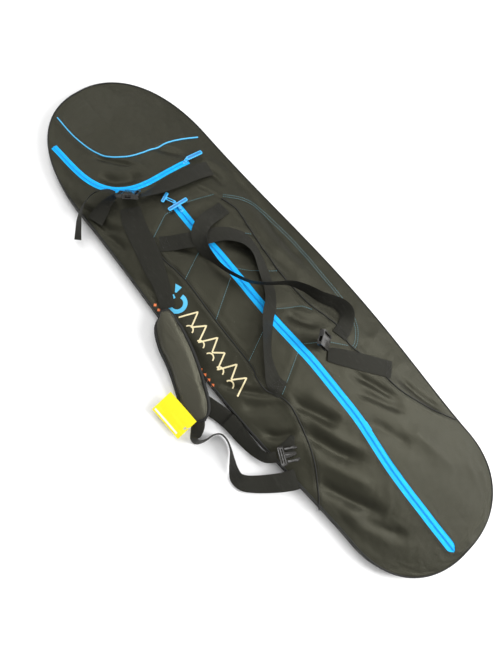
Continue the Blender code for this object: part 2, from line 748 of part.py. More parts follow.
def nose_strap():
    """The compression strap across the collar, buckled, with its loose end hanging to the left."""
    lying_web("nose_strap_right", [
        (-0.392, 0.150, STRAP_WIDTH), (-0.400, 0.095, STRAP_WIDTH), (-0.407, 0.035, 0.046),
        (-0.411, 0.000, 0.040), (-0.413, -0.030, 0.032), (-0.4145, -0.052, 0.026),
    ], lift=0.009)
    mouth = frame_at(NOSE_BUCKLE, -NOSE_PULL, turn=-NOSE_TURN)
    socket("nose_socket", mouth)
    slide = pivot("nose_plug_slide", NOSE_BUCKLE, NOSE_PULL)
    plug("nose", mouth, slide, slide)
    end = NOSE_BUCKLE + NOSE_PULL * (BAR_LENGTH + 0.003)
    webbing("nose_strap_anchor", [
        (end.x - 0.001, end.y - 0.005, end.z - 0.0085, 0.034, NOSE_TURN - 8),
        (-0.463, -0.152, 0.0610, 0.038, 20), (-0.455, -0.182, 0.0500, 0.044, 8),
        (-0.447, -0.207, 0.0420, 0.046, 0),
    ])
    webbing("nose_strap_tail", [
        (end.x - 0.003, end.y - 0.002, end.z + 0.0015, 0.030, NOSE_TURN),
        (-0.481, -0.136, 0.0860, 0.027, 42), (-0.496, -0.153, 0.0800, 0.027, 56),
        (-0.502, -0.177, 0.0700, 0.027, 62), (-0.496, -0.205, 0.0600, 0.027, 58),
        (-0.478, -0.233, 0.0480, 0.027, 50), (-0.457, -0.254, 0.0360, 0.027, 42),
        (-0.438, -0.272, 0.0240, 0.027, 34),
    ], parent=slide)


TAIL_PLUG = Vector((0.3545, -0.2120, 0.0600))
TAIL_PLUG_ALONG = Vector((0.46, 0.88, 0.08)).normalized()
TAIL_SOCKET = Vector((0.2100, 0.0330, 0.0985))
TAIL_SOCKET_ALONG = Vector((-0.56, 0.82, 0.0)).normalized()


def tail_strap(flaps):
    """The second compression strap, unbuckled: a long end on the left and a short one on the right."""
    sewn = (0.372, 0.158)
    lift = pivot("tail_strap_lift", (*sewn, top(*sewn) + LIE), (-0.75, 0.66, 0), flaps["right"])
    lying_web("tail_strap_right", [
        (*sewn, STRAP_WIDTH), (0.335, 0.128, STRAP_WIDTH), (0.290, 0.092, STRAP_WIDTH),
        (0.250, 0.060, 0.044), (0.232, 0.043, 0.036),
    ], lift=0.004, parent=lift)
    socket("tail_socket", frame_at(TAIL_SOCKET, TAIL_SOCKET_ALONG, turn=52), lift)
    lying_web("tail_anchor_tab", [
        (0.3300, -0.1640, 0.010), (0.3400, -0.1830, 0.028), (0.3480, -0.2000, 0.044),
    ], lift=0.0025)
    mouth = frame_at(TAIL_PLUG, TAIL_PLUG_ALONG, turn=-24)
    plug("tail", mouth, None, None)
    end = TAIL_PLUG - TAIL_PLUG_ALONG * (BAR_LENGTH + 0.0015)
    webbing("tail_strap_left", [
        (end.x - 0.004, end.y - 0.004, end.z, 0.028, -12), (0.330, -0.249, 0.0480, 0.028, -30),
        (0.312, -0.259, 0.0340, 0.032, -40), (0.290, -0.264, 0.0260, 0.036, -34),
        (0.255, -0.267, 0.0220, 0.040, -28), (0.220, -0.268, 0.0210, 0.042, -26),
        (0.185, -0.271, 0.0190, 0.044, -24), (0.152, -0.279, 0.0170, 0.044, -20),
    ])


def handles(flaps):
    """Two carrying handles, one sewn to each flap's seam, their loops lying across each other."""
    right_ends, left_ends = ((-0.266, 0.100), (0.214, 0.104)), ((-0.285, -0.112), (0.228, -0.110))
    height = 0.062
    right = pivot("handle_right_lift", (0, 0.100, height), (-1, 0, 0), flaps["right"])
    left = pivot("handle_left_lift", (0, -0.110, height), (1, 0, 0), flaps["left"])
    wide = HANDLE_WIDTH
    webbing("handle_right", [
        (*right_ends[0], 0.0700, wide, -3), (-0.262, 0.054, 0.0775, wide, -2),
        (-0.250, 0.007, 0.0840, wide, 0), (-0.229, -0.020, 0.0860, wide, 12),
        (-0.190, -0.034, 0.0900, wide, 42), (-0.148, -0.034, 0.0960, wide, 66),
        (-0.115, -0.031, 0.1000, wide, 74), (-0.082, -0.022, 0.1030, wide, 76),
        (-0.038, 0.000, 0.1070, wide, 78), (-0.007, 0.033, 0.1090, wide, 78),
        (0.026, 0.080, 0.1040, wide, 76), (0.062, 0.109, 0.0930, wide, 74),
        (0.104, 0.130, 0.0840, wide, 68), (0.150, 0.158, 0.0780, wide, 60),
        (0.183, 0.160, 0.0720, wide, 40), (0.2060, 0.134, 0.0700, wide, 18),
        (*right_ends[1], 0.0690, wide, 6),
    ], parent=right)
    webbing("handle_left", [
        (*left_ends[0], 0.0630, wide, 3), (-0.256, -0.071, 0.0705, wide, 2),
        (-0.232, -0.034, 0.0750, wide, 0), (-0.217, 0.000, 0.0765, wide, -2),
        (-0.198, 0.040, 0.0770, wide, -8), (-0.164, 0.070, 0.0770, wide, -20),
        (-0.125, 0.078, 0.0780, wide, -40), (-0.085, 0.070, 0.0800, wide, -48),
        (-0.042, 0.053, 0.0810, 0.034, -30), (0.000, 0.036, 0.0770, 0.030, -12),
        (0.031, 0.014, 0.0770, 0.034, -20), (0.060, -0.022, 0.0830, wide, -40),
        (0.100, -0.060, 0.0870, wide, -52), (0.142, -0.092, 0.0850, wide, -50),
        (0.184, -0.112, 0.0760, wide, -30), (0.208, -0.116, 0.0685, wide, -8),
        (*left_ends[1], 0.0650, wide, 0),
    ], parent=left)


STRAP_NOSE, STRAP_TAIL = Vector((-0.4180, -0.1100, 0.0540)), Vector((0.4130, -0.2260, 0.0420))


def shoulder_strap():
    """The padded shoulder strap: webbing from the collar, the pad, and webbing back to the side."""
    swing = pivot("shoulder_strap_swing", STRAP_NOSE, STRAP_NOSE - STRAP_TAIL)
    lying_web("shoulder_web_upper", [
        (-0.4200, -0.1080, 0.056), (-0.390, -0.1230, SHOULDER_WIDTH),
        (-0.350, -0.1350, SHOULDER_WIDTH), (-0.310, -0.1440, SHOULDER_WIDTH),
        (-0.270, -0.1540, SHOULDER_WIDTH), (-0.230, -0.1660, 0.054), (-0.200, -0.1740, 0.046),
        (-0.165, -0.1870, 0.042), (-0.130, -0.2030, NARROW_WIDTH),
    ], parent=swing)
    route = [
        (-0.128, -0.2140, 0.0460, 0.026), (-0.108, -0.2230, 0.0455, 0.044),
        (-0.085, -0.2370, 0.0440, 0.070), (-0.045, -0.2500, 0.0420, PAD_WIDTH),
        (0.000, -0.2610, 0.0400, PAD_WIDTH), (0.045, -0.2760, 0.0370, PAD_WIDTH),
        (0.090, -0.2940, 0.0330, PAD_WIDTH), (0.120, -0.3080, 0.0300, 0.078),
        (0.138, -0.3170, 0.0280, 0.062), (0.150, -0.3230, 0.0270, 0.036),
    ]
    turns = (6, 8, 10, 12, 15, 18, 20, 21, 21, 21)
    points = [(*place, turn) for place, turn in zip(route, turns)]
    webbing("shoulder_pad", points, PAD_THICK, NEOPRENE, swing, per_span=2)
    webbing("shoulder_web_lower", [
        (0.1575, -0.3290, 0.0265, 0.036, 18), (0.169, -0.3430, 0.0240, 0.038, 36),
        (0.178, -0.3560, 0.0230, 0.040, 58), (0.190, -0.3560, 0.0230, 0.040, 76),
        (0.199, -0.3380, 0.0230, 0.040, 84), (0.202, -0.3140, 0.0230, 0.040, 88),
        (0.212, -0.2990, 0.0240, 0.040, 90), (0.232, -0.2960, 0.0240, 0.040, 90),
        (0.256, -0.3030, 0.0230, 0.040, 88), (0.278, -0.3160, 0.0220, 0.040, 76),
        (0.301, -0.3290, 0.0200, 0.040, 58), (0.322, -0.3350, 0.0170, 0.040, 34),
        (0.343, -0.3280, 0.0160, 0.042, 20), (0.362, -0.3090, 0.0190, 0.044, 16),
        (0.380, -0.2860, 0.0250, 0.046, 14), (0.398, -0.2600, 0.0350, 0.048, 12),
        (0.411, -0.2360, 0.0420, 0.050, 8), (0.416, -0.2240, 0.0440, 0.050, 4),
    ], parent=swing)
    return swing


def swing_tag(strap):
    """The card tag, and the plastic loop that holds it on the webbing below the pad."""
    hole = Vector((0.1430, -0.3600, 0.0280))
    hang = pivot("swing_tag_hinge", hole, (-0.045, 1.0, 0.0), strap)
    along = Vector((-1.0, -0.045, -0.02)).normalized()
    frame = frame_at(hole, along, turn=-18)
    block("swing_tag", YELLOW_CARD, frame, (-0.008, -0.034, -0.0004), (0.092, 0.031, 0.0004), hang)
    loop = [(0.1430, -0.3600, 0.0302), (0.1470, -0.3570, 0.0345), (0.1510, -0.3500, 0.0375)]
    cord("tag_loop", CLEAR_LOOP, loop, 0.0008, sides=4, parent=hang)


# ---- Build -------------------------------------------------------------------------------------
def clear_scene():
    for obj in list(bpy.data.objects):
        bpy.data.objects.remove(obj, do_unlink=True)


clear_scene()
base()
edge_cords()
side_bands()
nose_panels()
collar()
rims()
tail_panels()
flaps = flap_pivots()
flap_panels(flaps)
main_zip(flaps)
sliders()
nose_strap()
tail_strap(flaps)
handles(flaps)
swing_tag(shoulder_strap())
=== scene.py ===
# %% [markdown]
# # A snowboard bag, piece by piece
# The bag lies on its back on a pale floor, with its long azure zip upwards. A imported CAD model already
# says where everything is and how it moves. This lesson gives each part the shape and the finish of
# cloth, webbing and moulded nylon. Units are metres: +X runs from the nose to the tail, +Z is up.

import json
import math

import bmesh
import bpy
import numpy as np
from mathutils import Matrix, Vector
from mathutils.bvhtree import BVHTree


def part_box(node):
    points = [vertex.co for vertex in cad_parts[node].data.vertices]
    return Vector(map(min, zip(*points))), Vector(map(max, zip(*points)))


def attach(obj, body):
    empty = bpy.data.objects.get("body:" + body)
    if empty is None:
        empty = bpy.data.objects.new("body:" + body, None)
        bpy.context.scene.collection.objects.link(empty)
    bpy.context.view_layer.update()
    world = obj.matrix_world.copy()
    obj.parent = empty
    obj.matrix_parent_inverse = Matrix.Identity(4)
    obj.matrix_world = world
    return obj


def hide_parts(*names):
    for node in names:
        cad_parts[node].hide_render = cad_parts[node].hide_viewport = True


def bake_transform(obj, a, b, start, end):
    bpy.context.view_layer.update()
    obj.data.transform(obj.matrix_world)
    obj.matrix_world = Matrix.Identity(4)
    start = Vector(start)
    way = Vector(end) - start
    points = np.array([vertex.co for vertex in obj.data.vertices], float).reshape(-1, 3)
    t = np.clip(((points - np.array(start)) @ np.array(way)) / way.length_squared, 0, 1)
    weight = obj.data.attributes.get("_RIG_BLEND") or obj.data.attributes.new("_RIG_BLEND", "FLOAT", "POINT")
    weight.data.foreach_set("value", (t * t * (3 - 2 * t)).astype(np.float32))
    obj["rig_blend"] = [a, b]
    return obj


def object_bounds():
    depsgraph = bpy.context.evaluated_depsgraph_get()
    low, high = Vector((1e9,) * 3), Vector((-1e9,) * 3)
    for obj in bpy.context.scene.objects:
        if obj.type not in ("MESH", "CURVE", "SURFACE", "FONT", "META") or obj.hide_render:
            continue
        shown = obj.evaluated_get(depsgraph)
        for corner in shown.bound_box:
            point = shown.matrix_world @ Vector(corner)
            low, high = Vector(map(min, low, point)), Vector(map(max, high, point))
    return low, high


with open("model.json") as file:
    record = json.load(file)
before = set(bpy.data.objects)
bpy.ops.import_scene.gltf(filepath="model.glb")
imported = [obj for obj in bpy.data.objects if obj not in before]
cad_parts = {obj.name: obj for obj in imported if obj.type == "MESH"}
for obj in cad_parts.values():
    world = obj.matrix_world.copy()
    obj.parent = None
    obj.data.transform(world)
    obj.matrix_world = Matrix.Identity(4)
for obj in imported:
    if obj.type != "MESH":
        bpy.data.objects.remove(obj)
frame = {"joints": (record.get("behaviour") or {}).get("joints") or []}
cad_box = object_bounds()
joints = {joint["name"]: joint for joint in frame["joints"]}

# %% [markdown]
# ## The camera and the light
# The camera looks down on the bag from its left side, nearly from above, through a wide lens close by, so
# the nose looks smaller than the tail. A matrix whose columns are right, up and back sets it in one step.

# %% Camera
def linked(name, data):
    """A new object with this data, in the scene."""
    made = bpy.data.objects.new(name, data)
    bpy.context.collection.objects.link(made)
    return made


camera_data = bpy.data.cameras.new("view_from_above")
camera_data.lens = 27.0
camera_data.sensor_width = 36.0
camera = linked("view_from_above", camera_data)
right, up, back = (0.63819, 0.76032, 0.12095), (-0.75798, 0.59300, 0.27170), (0.13485, -0.26507, 0.95475)
camera.matrix_world = Matrix.Translation((0.2220, -0.4230, 1.2975)) @ Matrix((right, up,
    back)).transposed().to_4x4()
bpy.context.scene.camera = camera
bpy.context.scene.view_settings.view_transform = "Standard"
print("camera stands at", [round(v, 3) for v in camera.matrix_world.translation])

# %% [markdown]
# Black cloth shows its folds only in the light that glances off it. One wide soft light stands behind
# the tail, low enough to graze the folds, and two weaker ones fill the shadows. A pale world does the rest.

# %% Lights
def soft_light(name, place, target, size, power):
    data = bpy.data.lights.new(name, "AREA")
    data.shape = "RECTANGLE"
    data.size, data.size_y = size
    data.energy = power
    lamp = linked(name, data)
    lamp.location = place
    lamp.rotation_euler = (Vector(target) - Vector(place)).to_track_quat("-Z", "Y").to_euler()
    return lamp


soft_light("key_over_tail", (1.9, 1.5, 1.7), (0.1, 0.0, 0.0), (1.0, 2.0), 95)
soft_light("fill_over_nose", (-2.0, 0.5, 2.2), (-0.2, 0.0, 0.0), (1.2, 1.2), 22)
soft_light("top_panel", (0.0, 0.3, 3.0), (0.0, 0.0, 0.0), (2.4, 1.6), 26)
world = bpy.data.worlds.new("pale_room")
bpy.context.scene.world = world
world.use_nodes = True
world.node_tree.nodes["Background"].inputs["Color"].default_value = (1.0, 1.0, 1.0, 1.0)
world.node_tree.nodes["Background"].inputs["Strength"].default_value = 0.55

# %% [markdown]
# ## Helpers for node trees
# Every finish is a node tree. `node` adds one node and fills its sockets, which keeps a tree readable:
# a tuple of a node and an output name is linked, and any other value is set on the socket.

# %% Node helpers
def node(tree, kind, inputs=None, **settings):
    made = tree.nodes.new(kind)
    for name, value in settings.items():
        setattr(made, name, value)
    for key, value in (inputs or {}).items():
        socket = made.inputs[key]
        if isinstance(value, bpy.types.NodeSocket):
            tree.links.new(value, socket)
        else:
            socket.default_value = value
    return made


def maths(tree, operation, a, b=0.0, clamp=False):
    made = node(tree, "ShaderNodeMath", {0: a, 1: b}, operation=operation)
    made.use_clamp = clamp
    return made.outputs[0]


def blend_colour(tree, factor, a, b):
    made = node(tree, "ShaderNodeMix", data_type="RGBA")
    for index, value in ((0, factor), (6, a), (7, b)):
        if isinstance(value, bpy.types.NodeSocket):
            tree.links.new(value, made.inputs[index])
        else:
            made.inputs[index].default_value = value
    return made.outputs[2]


def shader_group(name, inputs, outputs):
    group = bpy.data.node_groups.new(name, "ShaderNodeTree")
    for label, kind, value in inputs:
        socket = group.interface.new_socket(label, in_out="INPUT", socket_type=kind)
        if value is not None:
            socket.default_value = value
    for label, kind in outputs:
        group.interface.new_socket(label, in_out="OUTPUT", socket_type=kind)
    return group, group.nodes.new("NodeGroupInput"), group.nodes.new("NodeGroupOutput")


print("node helpers ready")

# %% [markdown]
# ## Shared surface effects
# Four effects return on several materials. A plain weave is two sets of threads, each over the other on
# alternate squares. Webbing has fine ribs along it. Lint is sparse pale specks. Wrinkles are a stretched
# noise that gives cloth its small unevenness. Each is a group that puts out masks and heights only.

# %% Weave, ribs, lint and wrinkles
FLOAT, VECTOR = "NodeSocketFloat", "NodeSocketVector"


def build_weave():
    group, entry, leave = shader_group(
        "plain_weave", [("Vector", VECTOR, None), ("Thread", FLOAT, 0.0007)], [("Height", FLOAT)])
    parts = node(group, "ShaderNodeSeparateXYZ", {0: entry.outputs["Vector"]})
    u = maths(group, "DIVIDE", parts.outputs[0], entry.outputs["Thread"])
    v = maths(group, "DIVIDE", parts.outputs[1], entry.outputs["Thread"])
    both = maths(group, "ADD", maths(group, "FLOOR", u), maths(group, "FLOOR", v))
    odd = maths(group, "ABSOLUTE", maths(group, "MODULO", both, 2.0))
    warp = maths(group, "ABSOLUTE", maths(group, "SINE", maths(group, "MULTIPLY", u, math.pi)))
    weft = maths(group, "ABSOLUTE", maths(group, "SINE", maths(group, "MULTIPLY", v, math.pi)))
    over = maths(group, "MULTIPLY", warp, odd)
    under = maths(group, "MULTIPLY", weft, maths(group, "SUBTRACT", 1.0, odd))
    group.links.new(maths(group, "ADD", over, under), leave.inputs["Height"])
    return group


def build_ribs():
    group, entry, leave = shader_group(
        "webbing_ribs", [("Vector", VECTOR, None), ("Pitch", FLOAT, 0.0022)], [("Height", FLOAT)])
    parts = node(group, "ShaderNodeSeparateXYZ", {0: entry.outputs["Vector"]})
    u = maths(group, "DIVIDE", parts.outputs[0], entry.outputs["Pitch"])
    v = maths(group, "DIVIDE", parts.outputs[1], entry.outputs["Pitch"])
    rib = maths(group, "ABSOLUTE", maths(group, "SINE", maths(group, "MULTIPLY", v, math.pi)))
    slant = maths(group, "ADD", maths(group, "MULTIPLY", u, 2.4), maths(group, "MULTIPLY", v, 0.5))
    twill = maths(group, "ABSOLUTE", maths(group, "SINE", maths(group, "MULTIPLY", slant, math.pi)))
    whole = maths(group, "ADD", rib, maths(group, "MULTIPLY", twill, 0.6))
    group.links.new(whole, leave.inputs["Height"])
    return group


def build_lint():
    group, entry, leave = shader_group(
        "lint", [("Vector", VECTOR, None), ("Spacing", FLOAT, 60.0), ("Amount", FLOAT, 0.2)],
        [("Mask", FLOAT)])
    spots = node(group, "ShaderNodeTexVoronoi", {"Vector": entry.outputs["Vector"],
        "Scale": entry.outputs["Spacing"]})
    small = maths(group, "LESS_THAN", spots.outputs["Distance"], 0.045)
    parts = node(group, "ShaderNodeSeparateColor", {0: spots.outputs["Color"]})
    rare = maths(group, "LESS_THAN", parts.outputs[0], entry.outputs["Amount"])
    group.links.new(maths(group, "MULTIPLY", small, rare), leave.inputs["Mask"])
    return group


def build_wrinkles():
    group, entry, leave = shader_group(
        "wrinkles", [("Vector", VECTOR, None), ("Scale", FLOAT, 9.0)], [("Height", FLOAT), ("Shade", FLOAT)])
    turned = node(group, "ShaderNodeMapping", {
        "Vector": entry.outputs["Vector"], "Rotation": (0.0, 0.0, 0.6), "Scale": (1.0, 2.6, 1.0)})
    broad = node(group, "ShaderNodeTexNoise", {
        "Vector": turned.outputs[0], "Scale": entry.outputs["Scale"], "Detail": 3.0, "Distortion": 0.6})
    soft = node(group, "ShaderNodeTexNoise", {"Vector": entry.outputs["Vector"], "Scale": 3.2, "Detail": 2.0})
    group.links.new(broad.outputs[0], leave.inputs["Height"])
    group.links.new(soft.outputs[0], leave.inputs["Shade"])
    return group


def build_wear():
    group, entry, leave = shader_group("scuffs", [("Vector", VECTOR, None), ("Scale", FLOAT, 90.0)],
        [("Mask", FLOAT)])
    streaks = node(group, "ShaderNodeMapping", {"Vector": entry.outputs["Vector"], "Scale": (1.0, 5.0, 1.0)})
    noise = node(group, "ShaderNodeTexNoise", {
        "Vector": streaks.outputs[0], "Scale": entry.outputs["Scale"], "Detail": 4.0})
    mask = node(group, "ShaderNodeMapRange", {0: noise.outputs[0], 1: 0.56, 2: 0.74, 3: 0.0, 4: 1.0})
    group.links.new(mask.outputs[0], leave.inputs["Mask"])
    return group


WEAVE, RIBS, LINT = build_weave(), build_ribs(), build_lint()
WRINKLES, SCUFFS = build_wrinkles(), build_wear()
print("groups:", [g.name for g in bpy.data.node_groups])

# %% [markdown]
# ## Cloth, webbing and pad finishes
# The bag's cloth is a coated polyester: near-black with a hint of olive, matt, with a low sheen where
# it turns away from the eye. The weave follows the piece's own UV map, which is laid out in metres, so
# one thread is 0.7 mm everywhere. The two dark tones drift into each other, as they do on used cloth.

# %% Cloth material maker
def group_node(tree, group, **inputs):
    made = tree.nodes.new("ShaderNodeGroup")
    made.node_tree = group
    for key, value in inputs.items():
        if isinstance(value, bpy.types.NodeSocket):
            tree.links.new(value, made.inputs[key])
        else:
            made.inputs[key].default_value = value
    return made


def start_material(name, roughness, sheen=0.0, coat=0.0, specular=0.5, tint=(1.0, 1.0, 1.0)):
    made = bpy.data.materials.new(name)
    made.use_nodes = True
    shader = made.node_tree.nodes["Principled BSDF"]
    shader.inputs["Roughness"].default_value = roughness
    shader.inputs["Sheen Weight"].default_value = sheen
    shader.inputs["Sheen Roughness"].default_value = 0.45
    shader.inputs["Coat Weight"].default_value = coat
    shader.inputs["Specular IOR Level"].default_value = specular
    shader.inputs["Specular Tint"].default_value = (*tint, 1.0)
    return made, made.node_tree, shader


def bump(tree, shader, height, distance, strength=1.0, after=None):
    made = node(tree, "ShaderNodeBump", {"Height": height, "Distance": distance, "Strength": strength})
    if after:
        tree.links.new(after.outputs[0], made.inputs["Normal"])
    tree.links.new(made.outputs[0], shader.inputs["Normal"])
    return made


def cloth_material(name, dark, light, roughness, sheen, thread=0.0007, wrinkle=0.0012, lint=0.10,
        specular=0.32):
    made, tree, shader = start_material(name, roughness, sheen, specular=specular, tint=(1.0, 0.98, 0.74))
    surface = node(tree, "ShaderNodeUVMap").outputs[0]
    place = node(tree, "ShaderNodeTexCoord").outputs["Object"]
    weave = group_node(tree, WEAVE, Vector=surface, Thread=thread)
    wrinkles = group_node(tree, WRINKLES, Vector=place, Scale=11.0)
    specks = group_node(tree, LINT, Vector=place, Spacing=95.0, Amount=lint)
    tone = node(tree, "ShaderNodeMapRange", {0: wrinkles.outputs["Shade"], 1: 0.35, 2: 0.65, 3: 0.0, 4: 1.0})
    colour = blend_colour(tree, tone.outputs[0], (*dark, 1.0), (*light, 1.0))
    threads = maths(tree, "MULTIPLY", weave.outputs[0], 0.18)
    colour = blend_colour(tree, threads, colour, (*[c * 1.7 for c in light], 1.0))
    colour = blend_colour(tree, maths(tree, "MULTIPLY", specks.outputs[0], 0.55), colour,
        (0.30, 0.31, 0.30, 1.0))
    tree.links.new(colour, shader.inputs["Base Color"])
    rough = maths(tree, "MULTIPLY", weave.outputs[0], -0.08)
    tree.links.new(maths(tree, "ADD", rough, roughness), shader.inputs["Roughness"])
    first = bump(tree, shader, wrinkles.outputs["Height"], wrinkle)
    bump(tree, shader, weave.outputs[0], 0.00018, 0.7, first)
    return made


BLACK_CLOTH = cloth_material("black_bag_cloth", (0.0095, 0.0093, 0.0064), (0.0165, 0.0160, 0.0110), 0.46,
    0.0, specular=0.36)
LINING = cloth_material("grey_lining", (0.045, 0.046, 0.047), (0.060, 0.061, 0.062), 0.72, 0.12,
    wrinkle=0.0008)
print("cloth:", BLACK_CLOTH.name, LINING.name)

# %% [markdown]
# Webbing is thicker and rougher than the cloth, with ribs that follow the strap. The pad's cover is a
# smooth stretch cloth over foam, so its light is softer and its weave much finer. Its colours are lighter
# than the bag's cloth and drift in broad pale patches: painted sheen. Thread is pale blue-grey.

# %% Webbing, pad, tape and thread
def webbing_material(name, dark, light, pitch=0.0022, depth=0.0005):
    made, tree, shader = start_material(name, 0.62, 0.0, specular=0.30, tint=(1.0, 0.98, 0.80))
    surface = node(tree, "ShaderNodeUVMap").outputs[0]
    place = node(tree, "ShaderNodeTexCoord").outputs["Object"]
    ribs = group_node(tree, RIBS, Vector=surface, Pitch=pitch)
    wrinkles = group_node(tree, WRINKLES, Vector=place, Scale=26.0)
    worn = group_node(tree, SCUFFS, Vector=place, Scale=45.0)
    colour = blend_colour(tree, maths(tree, "MULTIPLY", ribs.outputs[0], 0.6), (*dark, 1.0), (*light, 1.0))
    pale = tuple(min(1.0, c * 1.9 + 0.01) for c in light)
    colour = blend_colour(tree, maths(tree, "MULTIPLY", worn.outputs[0], 0.35), colour, (*pale, 1.0))
    tree.links.new(colour, shader.inputs["Base Color"])
    first = bump(tree, shader, wrinkles.outputs["Height"], 0.0008, 0.6)
    bump(tree, shader, ribs.outputs[0], depth, 0.8, first)
    return made


def plain_material(name, dark, light, roughness, scale=60.0, depth=0.0002, sheen=0.0, coat=0.0):
    made, tree, shader = start_material(name, roughness, sheen, coat)
    place = node(tree, "ShaderNodeTexCoord").outputs["Object"]
    grain = node(tree, "ShaderNodeTexNoise", {"Vector": place, "Scale": scale * 12, "Detail": 3.0})
    worn = group_node(tree, SCUFFS, Vector=place, Scale=scale)
    colour = blend_colour(tree, grain.outputs[0], (*dark, 1.0), (*light, 1.0))
    pale = tuple(min(1.0, c * 1.25 + 0.015) for c in light)
    colour = blend_colour(tree, maths(tree, "MULTIPLY", worn.outputs[0], 0.5), colour, (*pale, 1.0))
    tree.links.new(colour, shader.inputs["Base Color"])
    rough = maths(tree, "MULTIPLY", worn.outputs[0], 0.18)
    tree.links.new(maths(tree, "ADD", rough, roughness), shader.inputs["Roughness"])
    bump(tree, shader, grain.outputs[0], depth, 0.6)
    return made


WEBBING = webbing_material("black_webbing_strap", (0.0075, 0.0075, 0.0068), (0.0145, 0.0143, 0.0125))
BLUE_TAPE = webbing_material("azure_zip_tape", (0.0, 0.34, 0.86), (0.0, 0.48, 1.0), 0.0026, 0.0003)
# The pad cover's light colours and broad pale patches are painted sheen on the smooth cover.
PAD_COVER_PAINTED_SHEEN = cloth_material("pad_cover_painted_sheen", (0.020, 0.0190, 0.0140), (0.044, 0.042, 0.032), 0.40, 0.0,
    0.0004, 0.0020, 0.05, 0.6)
BLACK_CORD = plain_material("black_piping_cord", (0.0055, 0.0055, 0.0045), (0.011, 0.011, 0.009), 0.75, 120.0)
BLUE_CORD = plain_material("light_blue_piping", (0.05, 0.40, 0.74), (0.09, 0.50, 0.84), 0.48, 140.0,
    sheen=0.1)
THREAD = plain_material("light_blue_thread", (0.10, 0.27, 0.33), (0.16, 0.36, 0.43), 0.6, 200.0)
DARK_THREAD = plain_material("black_thread", (0.020, 0.020, 0.018), (0.034, 0.034, 0.030), 0.5, 200.0)
NYLON = plain_material("black_nylon_moulding", (0.018, 0.0165, 0.0145), (0.030, 0.028, 0.025), 0.24, 70.0,
    0.00008, coat=0.35)
AZURE_MOULD = plain_material("azure_moulding", (0.03, 0.40, 0.84), (0.06, 0.50, 0.92), 0.34, 70.0, 0.00008,
    coat=0.2)
# A darker azure for the painted shade inside the pulls' slots.
SLOT_PAINTED_SHADE = plain_material("azure_slot_painted_shade", (0.01, 0.17, 0.45), (0.02, 0.20, 0.50), 0.45, 90.0, 0.00008)
AZURE_TEETH = plain_material("azure_zip_teeth", (0.0, 0.33, 0.84), (0.0, 0.42, 0.93), 0.38, 150.0, 0.00005)
YELLOW_CARD = plain_material("yellow_card", (0.93, 0.78, 0.0), (0.97, 0.84, 0.01), 0.50, 18.0, 0.0001)
WHITE_PRINT = plain_material("white_print", (0.86, 0.86, 0.84), (0.92, 0.92, 0.90), 0.55, 40.0, 0.0001)
CREAM_PRINT = plain_material("cream_print", (0.72, 0.62, 0.36), (0.80, 0.70, 0.43), 0.50, 60.0, 0.0001)
BLUE_PRINT = plain_material("light_blue_print", (0.07, 0.46, 0.74), (0.10, 0.52, 0.80), 0.50, 60.0, 0.0001)
ORANGE_PRINT = plain_material("orange_print", (0.72, 0.16, 0.04), (0.80, 0.20, 0.05), 0.50, 60.0, 0.0001)
CLEAR_PLASTIC = plain_material("clear_tag_loop", (0.62, 0.62, 0.58), (0.74, 0.74, 0.70), 0.3, 60.0, 0.0001)
print("materials:", len(bpy.data.materials))

# %% [markdown]
# ## The floor
# A plain pale floor takes a soft shadow from the bag, which is what makes the bag lie down.

# %% Floor
def build_floor():
    mesh = bpy.data.meshes.new("floor")
    mesh.from_pydata([(-6, -6, -0.0006), (6, -6, -0.0006), (6, 6, -0.0006), (-6, 6, -0.0006)], [],
        [(0, 1, 2, 3)])
    floor = linked("floor", mesh)
    made, tree, shader = start_material("pale_floor", 0.75)
    place = node(tree, "ShaderNodeTexCoord").outputs["Object"]
    grain = node(tree, "ShaderNodeTexNoise", {"Vector": place, "Scale": 30.0, "Detail": 2.0})
    colour = blend_colour(tree, grain.outputs[0], (0.90, 0.90, 0.90, 1.0), (0.94, 0.94, 0.94, 1.0))
    tree.links.new(colour, shader.inputs["Base Color"])
    mesh.materials.append(made)
    return floor


floor = build_floor()
print("floor:", tuple(round(v, 2) for v in floor.dimensions))

# %% [markdown]
# ## The bag's outline
# The outline has two rounded caps, the nose longer than the tail, and sides that bulge slightly. The
# upper surface is a shallow arch: highest along the zip and down to the edge cord at the sides.

# %% Outline and arch
NOSE_END, TAIL_END, NOSE_CAP, TAIL_CAP = cad_box[0][0], cad_box[1][0], 0.34, 0.21
EDGE_HEIGHT = 0.0305
ZIP_START, ZIP_FINISH = -0.360, 0.803
ZIP_PATH = ((-0.364, -0.004), (-0.271, -0.008), (-0.156, -0.004), (0.001, -0.008), (0.107, -0.007),
    (0.216, -0.002),
            (0.315, -0.003), (0.411, -0.007), (0.497, -0.018), (0.583, -0.027), (0.674, -0.031),
            (0.810, -0.033))


def circle_heights(points):
    """x and z along the circular arc through three points, seen from the side."""
    (x1, z1), (x2, z2), (x3, z3) = points
    grid = np.linspace(x1, x3, 60)
    fit = np.polyfit([x1, x2, x3], [z1, z2, z3], 2)
    return grid, np.polyval(fit, grid)


RIDGE_X, RIDGE_Z = circle_heights(((-0.364, 0.0570), (0.22, 0.068), (0.800, 0.0400)))


def half_width(x):
    x = np.asarray(x, float)
    nose, tail = NOSE_END + NOSE_CAP, TAIL_END - TAIL_CAP
    run = np.clip((nose - x) / NOSE_CAP, 0, 1)
    nose_part = 0.221 * (1 - run**2.25) ** (1 / 2.25)
    run = np.clip((x - tail) / TAIL_CAP, 0, 1)
    tail_part = 0.2165 * (1 - run**2.25) ** (1 / 2.25)
    run = np.clip((x - nose) / (tail - nose), 0, 1)
    middle = 0.221 - 0.0045 * run + 0.0225 * np.abs(np.sin(np.pi * run**1.2)) ** 1.5
    return np.where(x < nose, nose_part, np.where(x > tail, tail_part, middle))


